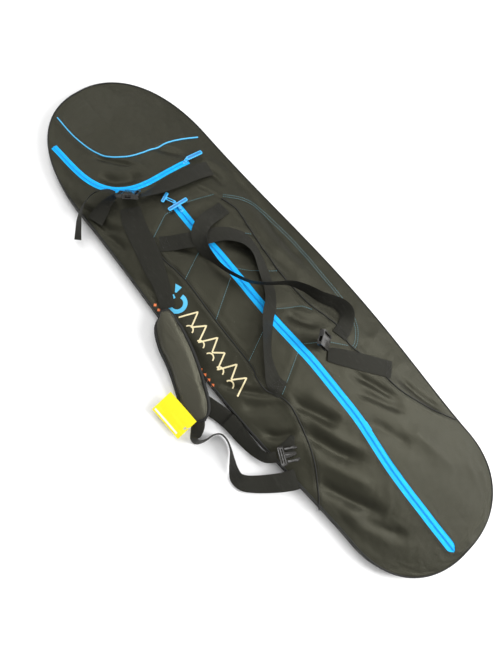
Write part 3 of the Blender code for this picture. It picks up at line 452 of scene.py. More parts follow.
def ridge(x):
    x = np.asarray(x, float)
    run_nose = np.clip((RIDGE_X[0] - x) / (RIDGE_X[0] - NOSE_END), 0, 1)
    run_tail = np.clip((x - RIDGE_X[-1]) / (TAIL_END - RIDGE_X[-1]), 0, 1)
    nose = EDGE_HEIGHT + (RIDGE_Z[0] - EDGE_HEIGHT) * (1 - run_nose**2)
    tail = EDGE_HEIGHT + (RIDGE_Z[-1] - EDGE_HEIGHT) * (1 - run_tail**2)
    return np.where(x < RIDGE_X[0], nose, np.where(x > RIDGE_X[-1], tail, np.interp(x, RIDGE_X, RIDGE_Z)))


def arch(x, y):
    width = np.maximum(half_width(x), 0.001)
    return EDGE_HEIGHT + (ridge(x) - EDGE_HEIGHT) * np.clip(1 - (np.asarray(y) / width) ** 2, 0, None)


def through(points, per_span):
    """A smooth curve through rows of numbers: places, and any widths or turns that go with them."""
    rows = np.array(points, float)
    rows = np.vstack([rows[:1], rows, rows[-1:]])
    made = []
    for a, b, c, d in zip(rows, rows[1:], rows[2:], rows[3:]):
        for t in np.arange(per_span) / per_span:
            made.append(0.5 * (2*b + (c - a)*t + (2*a - 5*b + 4*c - d)*t*t + (3*b - a - 3*c + d)*t**3))
    return np.array(made + [rows[-2]])


def run_along(path):
    """The distance from the start of a path to each of its points."""
    return np.concatenate([[0], np.cumsum(np.linalg.norm(np.diff(path, axis=0), axis=1))])


def offset_path(path, distance):
    """A path beside another one, to its left where the distance is positive."""
    way = np.gradient(path, axis=0)
    way /= np.linalg.norm(way, axis=1, keepdims=True)
    return np.column_stack([path[:, 0] - way[:, 1] * distance, path[:, 1] + way[:, 0] * distance])


ZIP_LINE = through(ZIP_PATH, 6)


def zip_y(x):
    return np.interp(x, ZIP_LINE[:, 0], ZIP_LINE[:, 1])


print("width at the middle:", round(float(2 * half_width(0.1)), 3))

# %% [markdown]
# ## Seams, stitch lines and folds
# The front is sewn from several panels. Two corded seams run beside the zip and leave it towards the
# tail. Pale stitch lines cross the middle panels like ribs. Folds lie where the cloth has slack: beside
# the pocket, at the sewn ends of the straps and in long soft bands over the belly. Each is a path on
# the bag, with how much it lifts or sinks the cloth and how wide that is.

# %% Lines on the front
LEFT_SEAM = ((-0.345, -0.119), (-0.310, -0.113), (-0.278, -0.124), (-0.242, -0.129), (-0.162, -0.120),
    (-0.023, -0.128),
             (0.121, -0.132), (0.161, -0.142), (0.197, -0.143), (0.237, -0.124), (0.271, -0.120),
             (0.312, -0.128),
             (0.364, -0.142), (0.429, -0.172), (0.482, -0.206), (0.510, -0.229))
RIGHT_SEAM = ((-0.360, 0.088), (-0.295, 0.114), (-0.242, 0.126), (-0.174, 0.116), (-0.096, 0.104),
    (-0.006, 0.094),
              (0.027, 0.094), (0.099, 0.100), (0.143, 0.112), (0.190, 0.121), (0.222, 0.115), (0.256, 0.112),
              (0.327, 0.128), (0.416, 0.136), (0.485, 0.160), (0.546, 0.190), (0.585, 0.212))
WING_SEAM = ((-0.296, 0.122), (-0.262, 0.156), (-0.219, 0.179), (-0.143, 0.187), (-0.065, 0.192),
    (0.040, 0.190),
             (0.144, 0.185), (0.187, 0.176), (0.224, 0.158), (0.251, 0.129), (0.256, 0.112))
POCKET_PIPING = ((-0.785, -0.098), (-0.69, -0.097), (-0.605, -0.074), (-0.557, -0.022), (-0.535, 0.05),
                 (-0.526, 0.115), (-0.500, 0.192))
POCKET_ZIP = ((-0.709, -0.161), (-0.613, -0.156), (-0.565, -0.149), (-0.524, -0.134), (-0.493, -0.112),
    (-0.470, -0.080),
              (-0.457, -0.043), (-0.450, -0.002), (-0.448, 0.049), (-0.444, 0.112))
CHEVRONS_LEFT = (
    ((-0.310, -0.113), (-0.330, -0.075), (-0.345, -0.045), (-0.342, -0.026)),
    ((-0.163, -0.118), (-0.208, -0.030)),
    ((-0.026, -0.123), (-0.088, -0.026)), ((0.114, -0.127), (0.066, -0.026)),
    ((0.234, -0.116), (0.180, -0.020)))
CHEVRONS_RIGHT = (
    ((-0.344, 0.016), (-0.319, 0.102)), ((-0.233, 0.010), (-0.197, 0.070), (-0.159, 0.106)),
    ((-0.099, 0.010), (-0.071, 0.036), (-0.030, 0.090)), ((0.048, 0.010), (0.072, 0.049), (0.088, 0.078),
    (0.111, 0.094)),
    ((0.172, 0.014), (0.196, 0.052), (0.208, 0.069), (0.246, 0.104)))
# path, lift in metres, half-width of the fold
FOLDS = (
    (((-0.610, -0.092), (-0.564, -0.055), (-0.521, -0.020)), -0.0065, 0.0070),
    (((-0.600, -0.080), (-0.552, -0.040), (-0.512, -0.005)), 0.0030, 0.0080),
    (((-0.556, -0.120), (-0.508, -0.085), (-0.482, -0.020)), -0.0060, 0.0150),
    (((-0.540, 0.060), (-0.500, 0.090), (-0.470, 0.120)), -0.0040, 0.0120),
    (((-0.540, -0.222), (-0.473, -0.195), (-0.421, -0.193), (-0.383, -0.164)), -0.0065, 0.0090),
    (((-0.520, -0.205), (-0.460, -0.178), (-0.420, -0.172)), 0.0030, 0.0110),
    (((-0.430, -0.215), (-0.380, -0.200), (-0.330, -0.190)), -0.0050, 0.0100),
    (((-0.417, 0.119), (-0.377, 0.147), (-0.323, 0.150)), -0.0050, 0.0110),
    (((-0.440, 0.150), (-0.400, 0.175), (-0.340, 0.185)), 0.0025, 0.0120),
    (((-0.350, 0.200), (-0.223, 0.190), (-0.098, 0.176), (0.05, 0.178)), -0.0030, 0.0130),
    (((-0.240, 0.150), (-0.120, 0.145), (0.020, 0.150)), 0.0030, 0.0200),
    (((0.110, -0.225), (0.185, -0.168), (0.238, -0.119)), -0.0070, 0.0080),
    (((0.130, -0.205), (0.170, -0.165)), 0.0030, 0.0120),
    (((0.190, -0.215), (0.240, -0.160), (0.254, -0.112)), -0.0045, 0.0180),
    (((0.262, -0.112), (0.323, -0.083), (0.385, -0.055)), -0.0065, 0.0150),
    (((0.260, -0.070), (0.330, -0.045), (0.390, -0.030)), 0.0030, 0.0150),
    (((0.326, -0.138), (0.425, -0.106), (0.494, -0.068)), -0.0075, 0.0190),
    (((0.330, -0.105), (0.420, -0.075), (0.480, -0.045)), 0.0040, 0.0150),
    (((0.400, -0.165), (0.470, -0.130), (0.560, -0.090)), 0.0040, 0.0170),
    (((0.452, -0.190), (0.530, -0.157), (0.627, -0.110)), -0.0075, 0.0190),
    (((0.540, -0.190), (0.600, -0.165), (0.680, -0.130)), 0.0035, 0.0180),
    (((0.577, -0.165), (0.640, -0.141), (0.700, -0.100)), -0.0050, 0.0170),
    (((0.310, 0.065), (0.372, 0.090), (0.443, 0.115)), -0.0055, 0.0110),
    (((0.350, 0.040), (0.417, 0.075), (0.476, 0.112)), -0.0045, 0.0120),
    (((0.396, 0.165), (0.464, 0.172), (0.549, 0.200)), -0.0050, 0.0100),
    (((0.421, -0.002), (0.470, 0.030), (0.552, 0.055)), -0.0035, 0.0180),
    (((0.500, 0.090), (0.580, 0.100), (0.660, 0.090)), 0.0030, 0.0260),
    (((0.070, 0.030), (0.120, 0.050), (0.160, 0.085)), -0.0035, 0.0130),
    (((-0.190, 0.030), (-0.150, 0.055), (-0.110, 0.085)), -0.0035, 0.0130),
    (((-0.260, -0.090), (-0.225, -0.060), (-0.190, -0.035)), -0.0035, 0.0120),
    (((0.280, -0.215), (0.310, -0.190), (0.330, -0.150)), -0.0060, 0.0100),
    (((-0.080, -0.200), (0.000, -0.195), (0.090, -0.205)), 0.0030, 0.0260),
    (((-0.250, -0.215), (-0.180, -0.205), (-0.110, -0.215)), -0.0040, 0.0120),
)
print("folds:", len(FOLDS), "stitch lines:", len(CHEVRONS_LEFT) + len(CHEVRONS_RIGHT))

# %% [markdown]
# Every line acts on the cloth through its distance. `near_line` measures how far each point of the
# cloth is from a path, so a fold is one smooth bump across the path that fades out past its ends.

# %% The cloth's height
def near_line(points, line):
    """Distance from each (x, y) to a path, with the share of the path where it is nearest."""
    path = np.array(line, float)[:, :2]
    if len(path) > 2:
        path = through(path, 5)
    lengths = run_along(path)
    best, share = np.full(len(points), 9.0), np.zeros(len(points))
    for i, (a, b) in enumerate(zip(path, path[1:])):
        step = b - a
        t = np.clip(((points - a) @ step) / (step @ step), 0, 1)
        away = np.linalg.norm(points - a - t[:, None] * step, axis=1)
        closer = away < best
        best = np.where(closer, away, best)
        share = np.where(closer, (lengths[i] + t * np.linalg.norm(step)) / lengths[-1], share)
    return best, share


SINK_GAIN, RISE_GAIN, FOLD_SPREAD = 1.9, 1.4, 0.9
DEEPEST_FOLD, HIGHEST_FOLD = -0.016, 0.0060


def fold_height(points):
    total = np.zeros(len(points))
    for line, lift, wide in FOLDS:
        away, share = near_line(points, line)
        fade = np.clip(np.minimum(share, 1 - share) * 4 + 0.15, 0, 1)
        gain = SINK_GAIN if lift < 0 else RISE_GAIN
        total += gain * lift * fade * np.exp(-((away / (FOLD_SPREAD * wide)) ** 2))
    for line in (LEFT_SEAM, RIGHT_SEAM):
        away, _ = near_line(points, line)
        total += 0.0022 * np.exp(-((away - 0.006) / 0.005) ** 2) - 0.0030 * np.exp(-((away / 0.0035) ** 2))
    for line in CHEVRONS_LEFT + CHEVRONS_RIGHT + (WING_SEAM,):
        away, _ = near_line(points, line)
        total += -0.0024 * np.exp(-((away / 0.0055) ** 2))
    away, _ = near_line(points, POCKET_PIPING)
    total += -0.0018 * np.exp(-((away / 0.004) ** 2)) + 0.0012 * np.exp(-((away - 0.007) / 0.005) ** 2)
    x, y = points[:, 0], points[:, 1]
    total += 0.0014 * np.sin(21 * x + 9 * y + 1.3) * np.sin(13 * y - 7 * x + 0.4)
    total += 0.0008 * np.sin(47 * x - 31 * y) * np.sin(39 * y + 22 * x + 1.0)
    edge = np.clip((half_width(x) - np.abs(y)) / 0.03, 0, 1)
    return np.clip(total, DEEPEST_FOLD, HIGHEST_FOLD) * edge


print("fold at the belly:", fold_height(np.array([[0.425, -0.106]])).round(4))

# %% [markdown]
# ## The front cloth
# The cloth is one net of rows across the bag, open along the zip: left of the zip and right of it the
# columns end a zip's half-width apart, and beyond the zip's ends they share their points. The list of
# folds gives it its rest shape. Blender's cloth solver then lets it settle over the padding inside, held
# at the edge cord and the zip, with a little more cloth than the gap needs. That puts in the small
# slack wrinkles that no list of folds has. Movement is capped, so that the bag keeps its size.

# %% Net of the front cloth
ROWS, COLUMNS = 236, 30
ZIP_HALF, RIM_INSET = 0.0132, 0.0042


def front_net():
    turn = np.linspace(0, 1, ROWS + 1)
    crowded = turn - 0.052 * np.sin(2 * np.pi * turn)
    x = NOSE_END + RIM_INSET + (TAIL_END - NOSE_END - 2 * RIM_INSET) * crowded
    edge = np.maximum(half_width(x) - RIM_INSET, 0.0002)
    opened = np.clip((x - ZIP_START) / 0.012, 0, 1) * np.clip((ZIP_FINISH - x) / 0.012, 0, 1)
    gap = ZIP_HALF * np.sqrt(np.clip(opened, 0, 1))
    centre = np.where(x < ZIP_PATH[0][0], ZIP_PATH[0][1] * np.clip((x - NOSE_END) / 0.2, 0, 1), zip_y(x))
    centre = np.where(x > 0.81, -0.033 * np.clip((TAIL_END - x) / 0.02, 0, 1), centre)
    share = np.linspace(0, 1, COLUMNS + 1)
    places, index = [], np.zeros((2, ROWS + 1, COLUMNS + 1), int)
    for i in range(ROWS + 1):
        for side, sign in ((0, -1), (1, 1)):
            inner, outer = centre[i] + sign * gap[i], sign * edge[i]
            for j, s in enumerate(share):
                if side == 1 and j == 0 and gap[i] == 0:
                    index[1, i, 0] = index[0, i, 0]
                    continue
                index[side, i, j] = len(places)
                places.append((x[i], inner + (outer - inner) * s))
    flat = np.array(places)
    height = arch(flat[:, 0], flat[:, 1]) + fold_height(flat)
    return np.column_stack([flat, height]), index


def quads_of(index):
    faces = []
    for side in (0, 1):
        for i in range(ROWS):
            for j in range(COLUMNS):
                quad = [index[side, i, j], index[side, i + 1, j], index[side, i + 1, j + 1],
                    index[side, i, j + 1]]
                faces.append(quad if side == 1 else quad[::-1])
    return [list(dict.fromkeys(int(v) for v in face)) for face in faces]


net, net_index = front_net()
net_faces = quads_of(net_index)
print("net:", len(net), "points,", len(net_faces), "faces")

# %% Settle the cloth
def mesh_object(name, points, faces):
    mesh = bpy.data.meshes.new(name)
    mesh.from_pydata([tuple(p) for p in points], [], [tuple(f) for f in faces])
    return linked(name, mesh)


def finished_mesh(piece):
    """A new mesh of the piece with its modifiers applied."""
    return bpy.data.meshes.new_from_object(piece.evaluated_get(bpy.context.evaluated_depsgraph_get()))


def held_share():
    """How firmly each point is held: fully at the edge cord and the zip, hardly at all between."""
    held = np.zeros(len(net))
    for side in (0, 1):
        held[net_index[side, :, -2:]] = 1.0
        held[net_index[side, :, 0]] = 1.0
    held[net_index[:, :3]] = 1.0
    held[net_index[:, -3:]] = 1.0
    for line in (POCKET_ZIP, POCKET_PIPING, LEFT_SEAM, RIGHT_SEAM):
        away, _ = near_line(net[:, :2], line)
        held[away < 0.008] = 1.0
    return held


def played(piece, frames):
    """Runs a solver through its frames and returns where the piece's points end."""
    scene = bpy.context.scene
    for number in range(1, frames + 1):
        scene.frame_set(number)
    shape = piece.evaluated_get(bpy.context.evaluated_depsgraph_get()).to_mesh()
    ended = np.array([v.co for v in shape.vertices])
    scene.frame_set(1)
    return ended


def capped(moved, cap):
    """The same movements, none of them longer than the cap."""
    length = np.linalg.norm(moved, axis=1, keepdims=True)
    return moved * np.minimum(1.0, cap / np.maximum(length, 1e-9))


def settle(points, faces, frames=20, cap=0.0040):
    cloth = mesh_object("settling_cloth", points, faces)
    group = cloth.vertex_groups.new(name="held")
    for i, share in enumerate(held_share()):
        if share > 0:
            group.add([i], share, "REPLACE")
    padding = mesh_object("padding", points - np.array([0, 0, 0.0045]), faces)
    padding.modifiers.new("collide", "COLLISION")
    padding.collision.thickness_outer = 0.0015
    work = cloth.modifiers.new("settle", "CLOTH")
    work.settings.vertex_group_mass = "held"
    work.settings.shrink_min = -0.016
    work.settings.quality = 5
    work.settings.mass = 0.12
    work.settings.tension_stiffness = work.settings.compression_stiffness = 22
    work.settings.bending_stiffness = 1.6
    work.collision_settings.distance_min = 0.0015
    work.collision_settings.use_self_collision = False
    settled = played(cloth, frames)
    for temporary in (cloth, padding):
        bpy.data.objects.remove(temporary, do_unlink=True)
    moved = settled - points
    for _ in range(3):
        for side in (0, 1):
            grid = moved[net_index[side]]
            inside = grid[1:-1, 1:-1]
            inside[:] = 0.5 * inside + 0.125 * (grid[:-2, 1:-1] + grid[2:, 1:-1] + grid[1:-1,
                :-2] + grid[1:-1, 2:])
            moved[net_index[side, 1:-1, 1:-1]] = inside
    return points + capped(moved, cap)


settled_net = settle(net, net_faces)
print("settled by up to", round(float(np.abs(settled_net - net).max()) * 1000, 1), "mm")

# %% [markdown]
# The settled net is subdivided once, and cut into three pieces: the nose, which never moves, and the
# left and right fronts, which open with the flaps. Each piece has an outer face and a lining 1.5 mm
# below it. The normals of the whole net are kept on the pieces, so no cut shows.

# %% Cut the cloth into pieces
FLAP_FADE = {"left": (0.262, 0.345), "right": (0.385, 0.480)}


def ease(value):
    value = np.clip(value, 0, 1)
    return value * value * (3 - 2 * value)


def flap_share(points, side):
    """How far each point turns with the flap: none at the hinge, the mouth's ends and under the strap."""
    first, last = FLAP_FADE[side]
    x, y = points[:, 0], np.abs(points[:, 1])
    share = ease((x + 0.334) / 0.046) * ease((last - x) / (last - first)) * ease((0.214 - y) / 0.026)
    if side == "left":
        held = np.interp(x, (-0.35, -0.27, -0.20, -0.13, -0.06), (0.105, 0.1245, 0.144, 0.178, 0.306))
        share = share * ease((held - y) / np.interp(x, (-0.25, -0.19), (0.014, 0.080)))
    return share


def set_shares(piece, share):
    """Gives every point its own share of the second body, in place of the blend's."""
    points = np.array([v.co for v in piece.data.vertices])
    piece.data.attributes["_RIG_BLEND"].data.foreach_set("value", share(points).astype(np.float32))
    return piece


def open_with_flap(piece, side):
    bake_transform(piece, "root", f"flap_{side}", start=(0, -0.2, 0), end=(0, 0, 0))
    return set_shares(piece, lambda points: flap_share(points, side))


def write_uv(mesh, name, places):
    """A UV map in metres from one (along, across) place for each point."""
    layer = mesh.uv_layers.new(name=name)
    loops = np.empty(len(mesh.loops), int)
    mesh.loops.foreach_get("vertex_index", loops)
    layer.data.foreach_set("uv", places[loops].astype(np.float32).ravel())


def metre_uv(mesh):
    points = np.empty(len(mesh.vertices) * 3)
    mesh.vertices.foreach_get("co", points)
    write_uv(mesh, "cloth_metres", points.reshape(-1, 3)[:, :2])


def subdivided(points, faces, levels=1):
    whole = mesh_object("whole_front", points, faces)
    work = whole.modifiers.new("finer", "SUBSURF")
    work.levels = work.render_levels = levels
    mesh = finished_mesh(whole)
    bpy.data.objects.remove(whole, do_unlink=True)
    return mesh


def cut_piece(name, mesh, keep, thickness=0.0015):
    """The faces that `keep` chooses, with a lining below them and walls along the cut edges."""
    points = np.array([v.co for v in mesh.vertices])
    normals = np.array([n.vector for n in mesh.vertex_normals])
    chosen = [tuple(p.vertices) for p in mesh.polygons if keep(p.center)]
    used = np.unique([v for face in chosen for v in face])
    place = {int(v): k for k, v in enumerate(used)}
    count = len(used)
    upper = points[used]
    lower = upper - normals[used] * thickness
    faces = [tuple(place[v] for v in face) for face in chosen]
    sides = {}
    for face in faces:
        for a, b in zip(face, face[1:] + face[:1]):
            sides[(a, b)] = sides.get((a, b), 0) + 1
    walls = [(b, a, count + a, count + b) for a, b in sides if (b, a) not in sides]
    below = [tuple(count + v for v in reversed(face)) for face in faces]
    piece = mesh_object(name, np.vstack([upper, lower]), faces + below + walls)
    made = piece.data
    made.materials.append(BLACK_CLOTH)
    made.materials.append(LINING)
    index = np.zeros(len(made.polygons), int)
    index[len(faces):len(faces) + len(below)] = 1
    made.polygons.foreach_set("material_index", index)
    made.shade_smooth()
    both = np.vstack([normals[used], -normals[used]])
    made.normals_split_custom_set_from_vertices([tuple(n) for n in both])
    metre_uv(made)
    return piece


front_mesh = subdivided(settled_net, net_faces)
CUT_X = -0.338
nose_cloth = cut_piece("nose_cloth", front_mesh, lambda c: c.x < CUT_X)
fronts = {
    "left": cut_piece("front_cloth_left", front_mesh, lambda c: c.x >= CUT_X and c.y < zip_y(c.x)),
    "right": cut_piece("front_cloth_right", front_mesh, lambda c: c.x >= CUT_X and c.y >= zip_y(c.x)),
}
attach(nose_cloth, "root")
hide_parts("nose_panel", "pocket_panel", "collar_panel")
for side, front in fronts.items():
    open_with_flap(front, side)
    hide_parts(f"centre_panel_{side}", f"outer_panel_{side}", f"rim_{side}", f"tail_panel_{side}")
print("cloth pieces:", nose_cloth.name, [o.name for o in fronts.values()])

# %% [markdown]
# Everything that is sewn to the front lies on the settled cloth, wherever the folds took it. A search
# tree answers, for any place on the bag, how high the cloth is there and which way it faces.

# %% Find the cloth's surface
surface_tree = BVHTree.FromPolygons([v.co for v in front_mesh.vertices],
    [tuple(p.vertices) for p in front_mesh.polygons])


def on_cloth(x, y, lift=0.0):
    """The point on the cloth at (x, y), raised a little, and the way the cloth faces there."""
    hit, normal, _, _ = surface_tree.ray_cast(Vector((x, y, 0.3)), Vector((0, 0, -1)))
    if hit is None:
        hit, normal = Vector((x, y, float(arch(x, y)))), Vector((0, 0, 1))
    if normal.z < 0:
        normal = -normal
    return hit + normal * lift, normal


def drape(line, lift, spacing=0.004):
    """A path laid on the cloth, as evenly spaced points with the cloth's direction at each."""
    path = np.array(line, float)[:, :2]
    if len(line) > 2:
        path = through(path, 8)
    lengths = run_along(path)
    count = max(2, int(lengths[-1] / spacing))
    marks = np.linspace(0, lengths[-1], count + 1)
    spots = [on_cloth(np.interp(m, lengths, path[:, 0]), np.interp(m, lengths, path[:, 1]),
        lift) for m in marks]
    return [s[0] for s in spots], [s[1] for s in spots]


print("cloth height at the middle:", round(on_cloth(0.1, 0.05)[0].z, 4))

# %% [markdown]
# ## Strips, cords and small makers
# A strap, a zip tape and a hem are all a strip: rows of points across, one row for each step along, with
# a thickness whose edges are rounded. A piping is a tube round a path. The strip carries a UV map in
# metres, so ribs and threads follow it round every bend and twist.

# %% Strip and tube makers
def finish_piece(piece, material, body=None, smooth=38):
    piece.data.materials.append(material)
    if smooth:
        piece.data.shade_smooth()
        piece.data.set_sharp_from_angle(angle=math.radians(smooth))
    if body:
        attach(piece, body)
    return piece


def strip(name, middle, thick, material):
    """A flat band through rows of points, with rounded long edges and closed ends."""
    middle = np.array(middle, float)
    rows, across = middle.shape[:2]
    along = np.gradient(middle, axis=0)
    over = np.gradient(middle, axis=1)
    normal = np.cross(along, over)
    normal /= np.maximum(np.linalg.norm(normal, axis=2, keepdims=True), 1e-9)
    share = np.linspace(-1, 1, across)
    rounding = np.sqrt(np.clip(1 - np.abs(share) ** 12, 0.04, 1))[None, :, None] * thick / 2
    upper, lower = middle + normal * rounding, middle - normal * rounding
    ring = np.concatenate([upper, lower[:, ::-1]], axis=1)
    size = 2 * across
    faces = []
    for i in range(rows - 1):
        for j in range(size):
            k = (j + 1) % size
            faces.append((i * size + j, (i + 1) * size + j, (i + 1) * size + k, i * size + k))
    for i in (0, rows - 1):
        for j in range(across - 1):
            quad = (i * size + j, i * size + j + 1, i * size + size - 2 - j, i * size + size - 1 - j)
            faces.append(quad if i == 0 else quad[::-1])
    piece = mesh_object(name, ring.reshape(-1, 3), faces)
    length, width = run_along(middle[:, across // 2]), run_along(middle[rows // 2])
    u = np.repeat(length[:, None], size, axis=1)
    v = np.repeat(np.concatenate([width, width[::-1]])[None, :], rows, axis=0)
    uv = np.stack([u, v], axis=2).reshape(-1, 2)
    face_outwards(piece)
    write_uv(piece.data, "strap_metres", uv)
    return finish_piece(piece, material)


def band_faces(pairs, count):
    """Quads between two rings of `count` points, for every pair of ring numbers."""
    return [(a * count + j, a * count + (j + 1) % count, b * count + (j + 1) % count, b * count + j)
            for a, b in pairs for j in range(count)]


def ring_after_ring(rings, count):
    return band_faces(zip(range(rings - 1), range(1, rings)), count)


def face_outwards(piece):
    work = bmesh.new()
    work.from_mesh(piece.data)
    bmesh.ops.recalc_face_normals(work, faces=work.faces)
    work.to_mesh(piece.data)
    work.free()
    return piece


def tube(name, points, radius, material, closed=False, sides=10):
    points = np.array(points, float)
    count = len(points)
    ahead = np.roll(points, -1, axis=0) - np.roll(points, 1, axis=0)
    if not closed:
        ahead[0], ahead[-1] = points[1] - points[0], points[-1] - points[-2]
    ahead /= np.linalg.norm(ahead, axis=1, keepdims=True)
    side = np.cross(np.array([0, 0, 1.0]), ahead)
    side /= np.maximum(np.linalg.norm(side, axis=1, keepdims=True), 1e-6)
    up_way = np.cross(ahead, side)
    turns = np.arange(sides) * 2 * np.pi / sides
    ring = (points[:, None] + radius * (np.cos(turns)[None, :, None] * side[:, None]
                                        + np.sin(turns)[None, :, None] * up_way[:, None]))
    faces = ring_after_ring(count, sides)
    if closed:
        faces += band_faces([(count - 1, 0)], sides)
    if not closed:
        faces += [tuple(range(sides)), tuple((count - 1) * sides + j for j in reversed(range(sides)))]
    piece = face_outwards(mesh_object(name, ring.reshape(-1, 3), faces))
    return finish_piece(piece, material, smooth=60)


def joined(name, pieces):
    """One object from several, with their materials and UV maps kept."""
    for piece in bpy.context.selected_objects:
        piece.select_set(False)
    for piece in pieces:
        piece.select_set(True)
    bpy.context.view_layer.objects.active = pieces[0]
    bpy.ops.object.join()
    pieces[0].name = name
    pieces[0].data.name = name
    return pieces[0]


print("makers ready")

# %% [markdown]
# ## Stitches and zip teeth with Geometry Nodes
# Stitches and teeth are one small shape repeated along a path, so Geometry Nodes make both. The tree
# turns the path's edges into a curve, spaces points along it, and puts the shape on each, lined up with
# the path and with the direction the cloth faces, which each point of the path stores as "lie".

# %% The repeat tree
def repeat_tree():
    tree = bpy.data.node_groups.new("repeat_along_path", "GeometryNodeTree")
    for label, kind, way in (
        ("Path", "NodeSocketGeometry", "INPUT"), ("Shape", "NodeSocketObject", "INPUT"),
        ("Spacing", FLOAT, "INPUT"), ("Size variation", FLOAT, "INPUT"), ("Seed", "NodeSocketInt", "INPUT"),
        ("Finish", "NodeSocketMaterial", "INPUT"), ("Geometry", "NodeSocketGeometry", "OUTPUT")):
        tree.interface.new_socket(label, in_out=way, socket_type=kind)
    entry, leave = tree.nodes.new("NodeGroupInput"), tree.nodes.new("NodeGroupOutput")
    curve = node(tree, "GeometryNodeMeshToCurve", {"Mesh": entry.outputs["Path"]})
    spaced = node(tree, "GeometryNodeResampleCurve", {"Curve": curve.outputs[0],
        "Length": entry.outputs["Spacing"]},
                  mode="LENGTH")
    tangent = node(tree, "GeometryNodeInputTangent")
    lie = node(tree, "GeometryNodeInputNamedAttribute", data_type="FLOAT_VECTOR")
    lie.inputs["Name"].default_value = "lie"
    first = node(tree, "FunctionNodeAlignEulerToVector", {"Vector": tangent.outputs[0]}, axis="X")
    second = node(tree, "FunctionNodeAlignEulerToVector", {
        "Rotation": first.outputs[0], "Vector": lie.outputs["Attribute"]}, axis="Z", pivot_axis="X")
    shape = node(tree, "GeometryNodeObjectInfo", {"Object": entry.outputs["Shape"]})
    low = maths(tree, "SUBTRACT", 1.0, entry.outputs["Size variation"])
    high = maths(tree, "ADD", 1.0, entry.outputs["Size variation"])
    size = node(tree, "FunctionNodeRandomValue", {"Seed": entry.outputs["Seed"]}, data_type="FLOAT")
    tree.links.new(low, size.inputs[2])
    tree.links.new(high, size.inputs[3])
    placed = node(tree, "GeometryNodeInstanceOnPoints", {
        "Points": spaced.outputs[0], "Instance": shape.outputs["Geometry"], "Rotation": second.outputs[0]})
    tree.links.new(size.outputs[1], placed.inputs["Scale"])
    real = node(tree, "GeometryNodeRealizeInstances", {0: placed.outputs[0]})
    painted = node(tree, "GeometryNodeSetMaterial", {"Geometry": real.outputs[0],
        "Material": entry.outputs["Finish"]})
    tree.links.new(painted.outputs[0], leave.inputs[0])
    return tree


REPEAT = repeat_tree()
print("tree inputs:", [s.name for s in REPEAT.interface.items_tree if s.in_out == "INPUT"])


# %% Repeat a shape along draped paths
def small_shape(name, length, width, height):
    """A stitch or a tooth: a low lozenge along X, with two dozen faces."""
    work = bmesh.new()
    bmesh.ops.create_uvsphere(work, u_segments=6, v_segments=4, radius=0.5)
    bmesh.ops.rotate(work, verts=work.verts, matrix=Matrix.Rotation(math.pi / 2, 3, "Y"))
    for vert in work.verts:
        vert.co = Vector((vert.co.x * length, vert.co.y * width, vert.co.z * height))
    mesh = bpy.data.meshes.new(name)
    work.to_mesh(mesh)
    work.free()
    mesh.shade_smooth()
    return bpy.data.objects.new(name, mesh)


def repeat_along(name, chains, shape, spacing, material, variation=0.06, seed=3):
    """chains: pairs of points and directions. One mesh comes back, with a shape at every step."""
    places, lies, edges = [], [], []
    for points, facing in chains:
        start = len(places)
        places += [tuple(p) for p in points]
        lies += [tuple(n) for n in facing]
        edges += [(start + i, start + i + 1) for i in range(len(points) - 1)]
    mesh = bpy.data.meshes.new(name)
    mesh.from_pydata(places, edges, [])
    attribute = mesh.attributes.new("lie", "FLOAT_VECTOR", "POINT")
    attribute.data.foreach_set("vector", np.array(lies, np.float32).ravel())
    holder = linked(name, mesh)
    bpy.context.collection.objects.link(shape)
    work = holder.modifiers.new("repeat", "NODES")
    work.node_group = REPEAT
    sockets = {s.name: s.identifier for s in REPEAT.interface.items_tree if s.in_out == "INPUT"}
    for label, value in (("Shape", shape), ("Spacing", spacing), ("Size variation", variation),
                         ("Seed", seed), ("Finish", material)):
        work[sockets[label]] = value
    result = finished_mesh(holder)
    bpy.data.objects.remove(holder, do_unlink=True)
    bpy.data.objects.remove(shape, do_unlink=True)
    for left_over in list(result.attributes):
        if left_over.name == "lie":
            result.attributes.remove(left_over)
    made = linked(name, result)
    if not len(result.materials):
        result.materials.append(material)
    return made


def stitches(name, lines, material, lift=0.0004, length=0.0044, spacing=0.0060, thick=0.0009):
    chains = [drape(line, lift) for line in lines]
    return repeat_along(name, chains, small_shape("stitch", length, thick, thick * 0.8), spacing, material)


print("repeat helper ready")

# %% [markdown]
# ## The main zip
# Each half of the zip is a woven tape sewn under the cloth's edge, with a row of coil teeth along its
# inner edge. The two halves part with the flaps, so each is its own piece. At the nose end, where the
# sliders stand, the tape belongs to the fixed part of the bag. Fine grooves run along the tape.

# %% Main zip tapes
def zip_rows(first, last, low, high, across, drop=0.0006, step=0.004):
    count = max(3, int((last - first) / step))
    rows = []
    for x in np.linspace(first, last, count + 1):
        centre = float(zip_y(x))
        left, right_side = on_cloth(x, centre - 0.0155)[0].z, on_cloth(x, centre + 0.0155)[0].z
        height = (left + right_side) / 2 - drop
        rows.append([(x, centre + y, height - 0.0006 * (abs(y) / 0.015)) for y in np.linspace(low, high,
            across)])
    return rows


def tooth_chain(first, last, offset, lift=0.0012):
    rows = zip_rows(first, last, offset, offset, 1)
    return [Vector(r[0]) + Vector((0, 0, lift)) for r in rows], [Vector((0, 0, 1))] * len(rows)


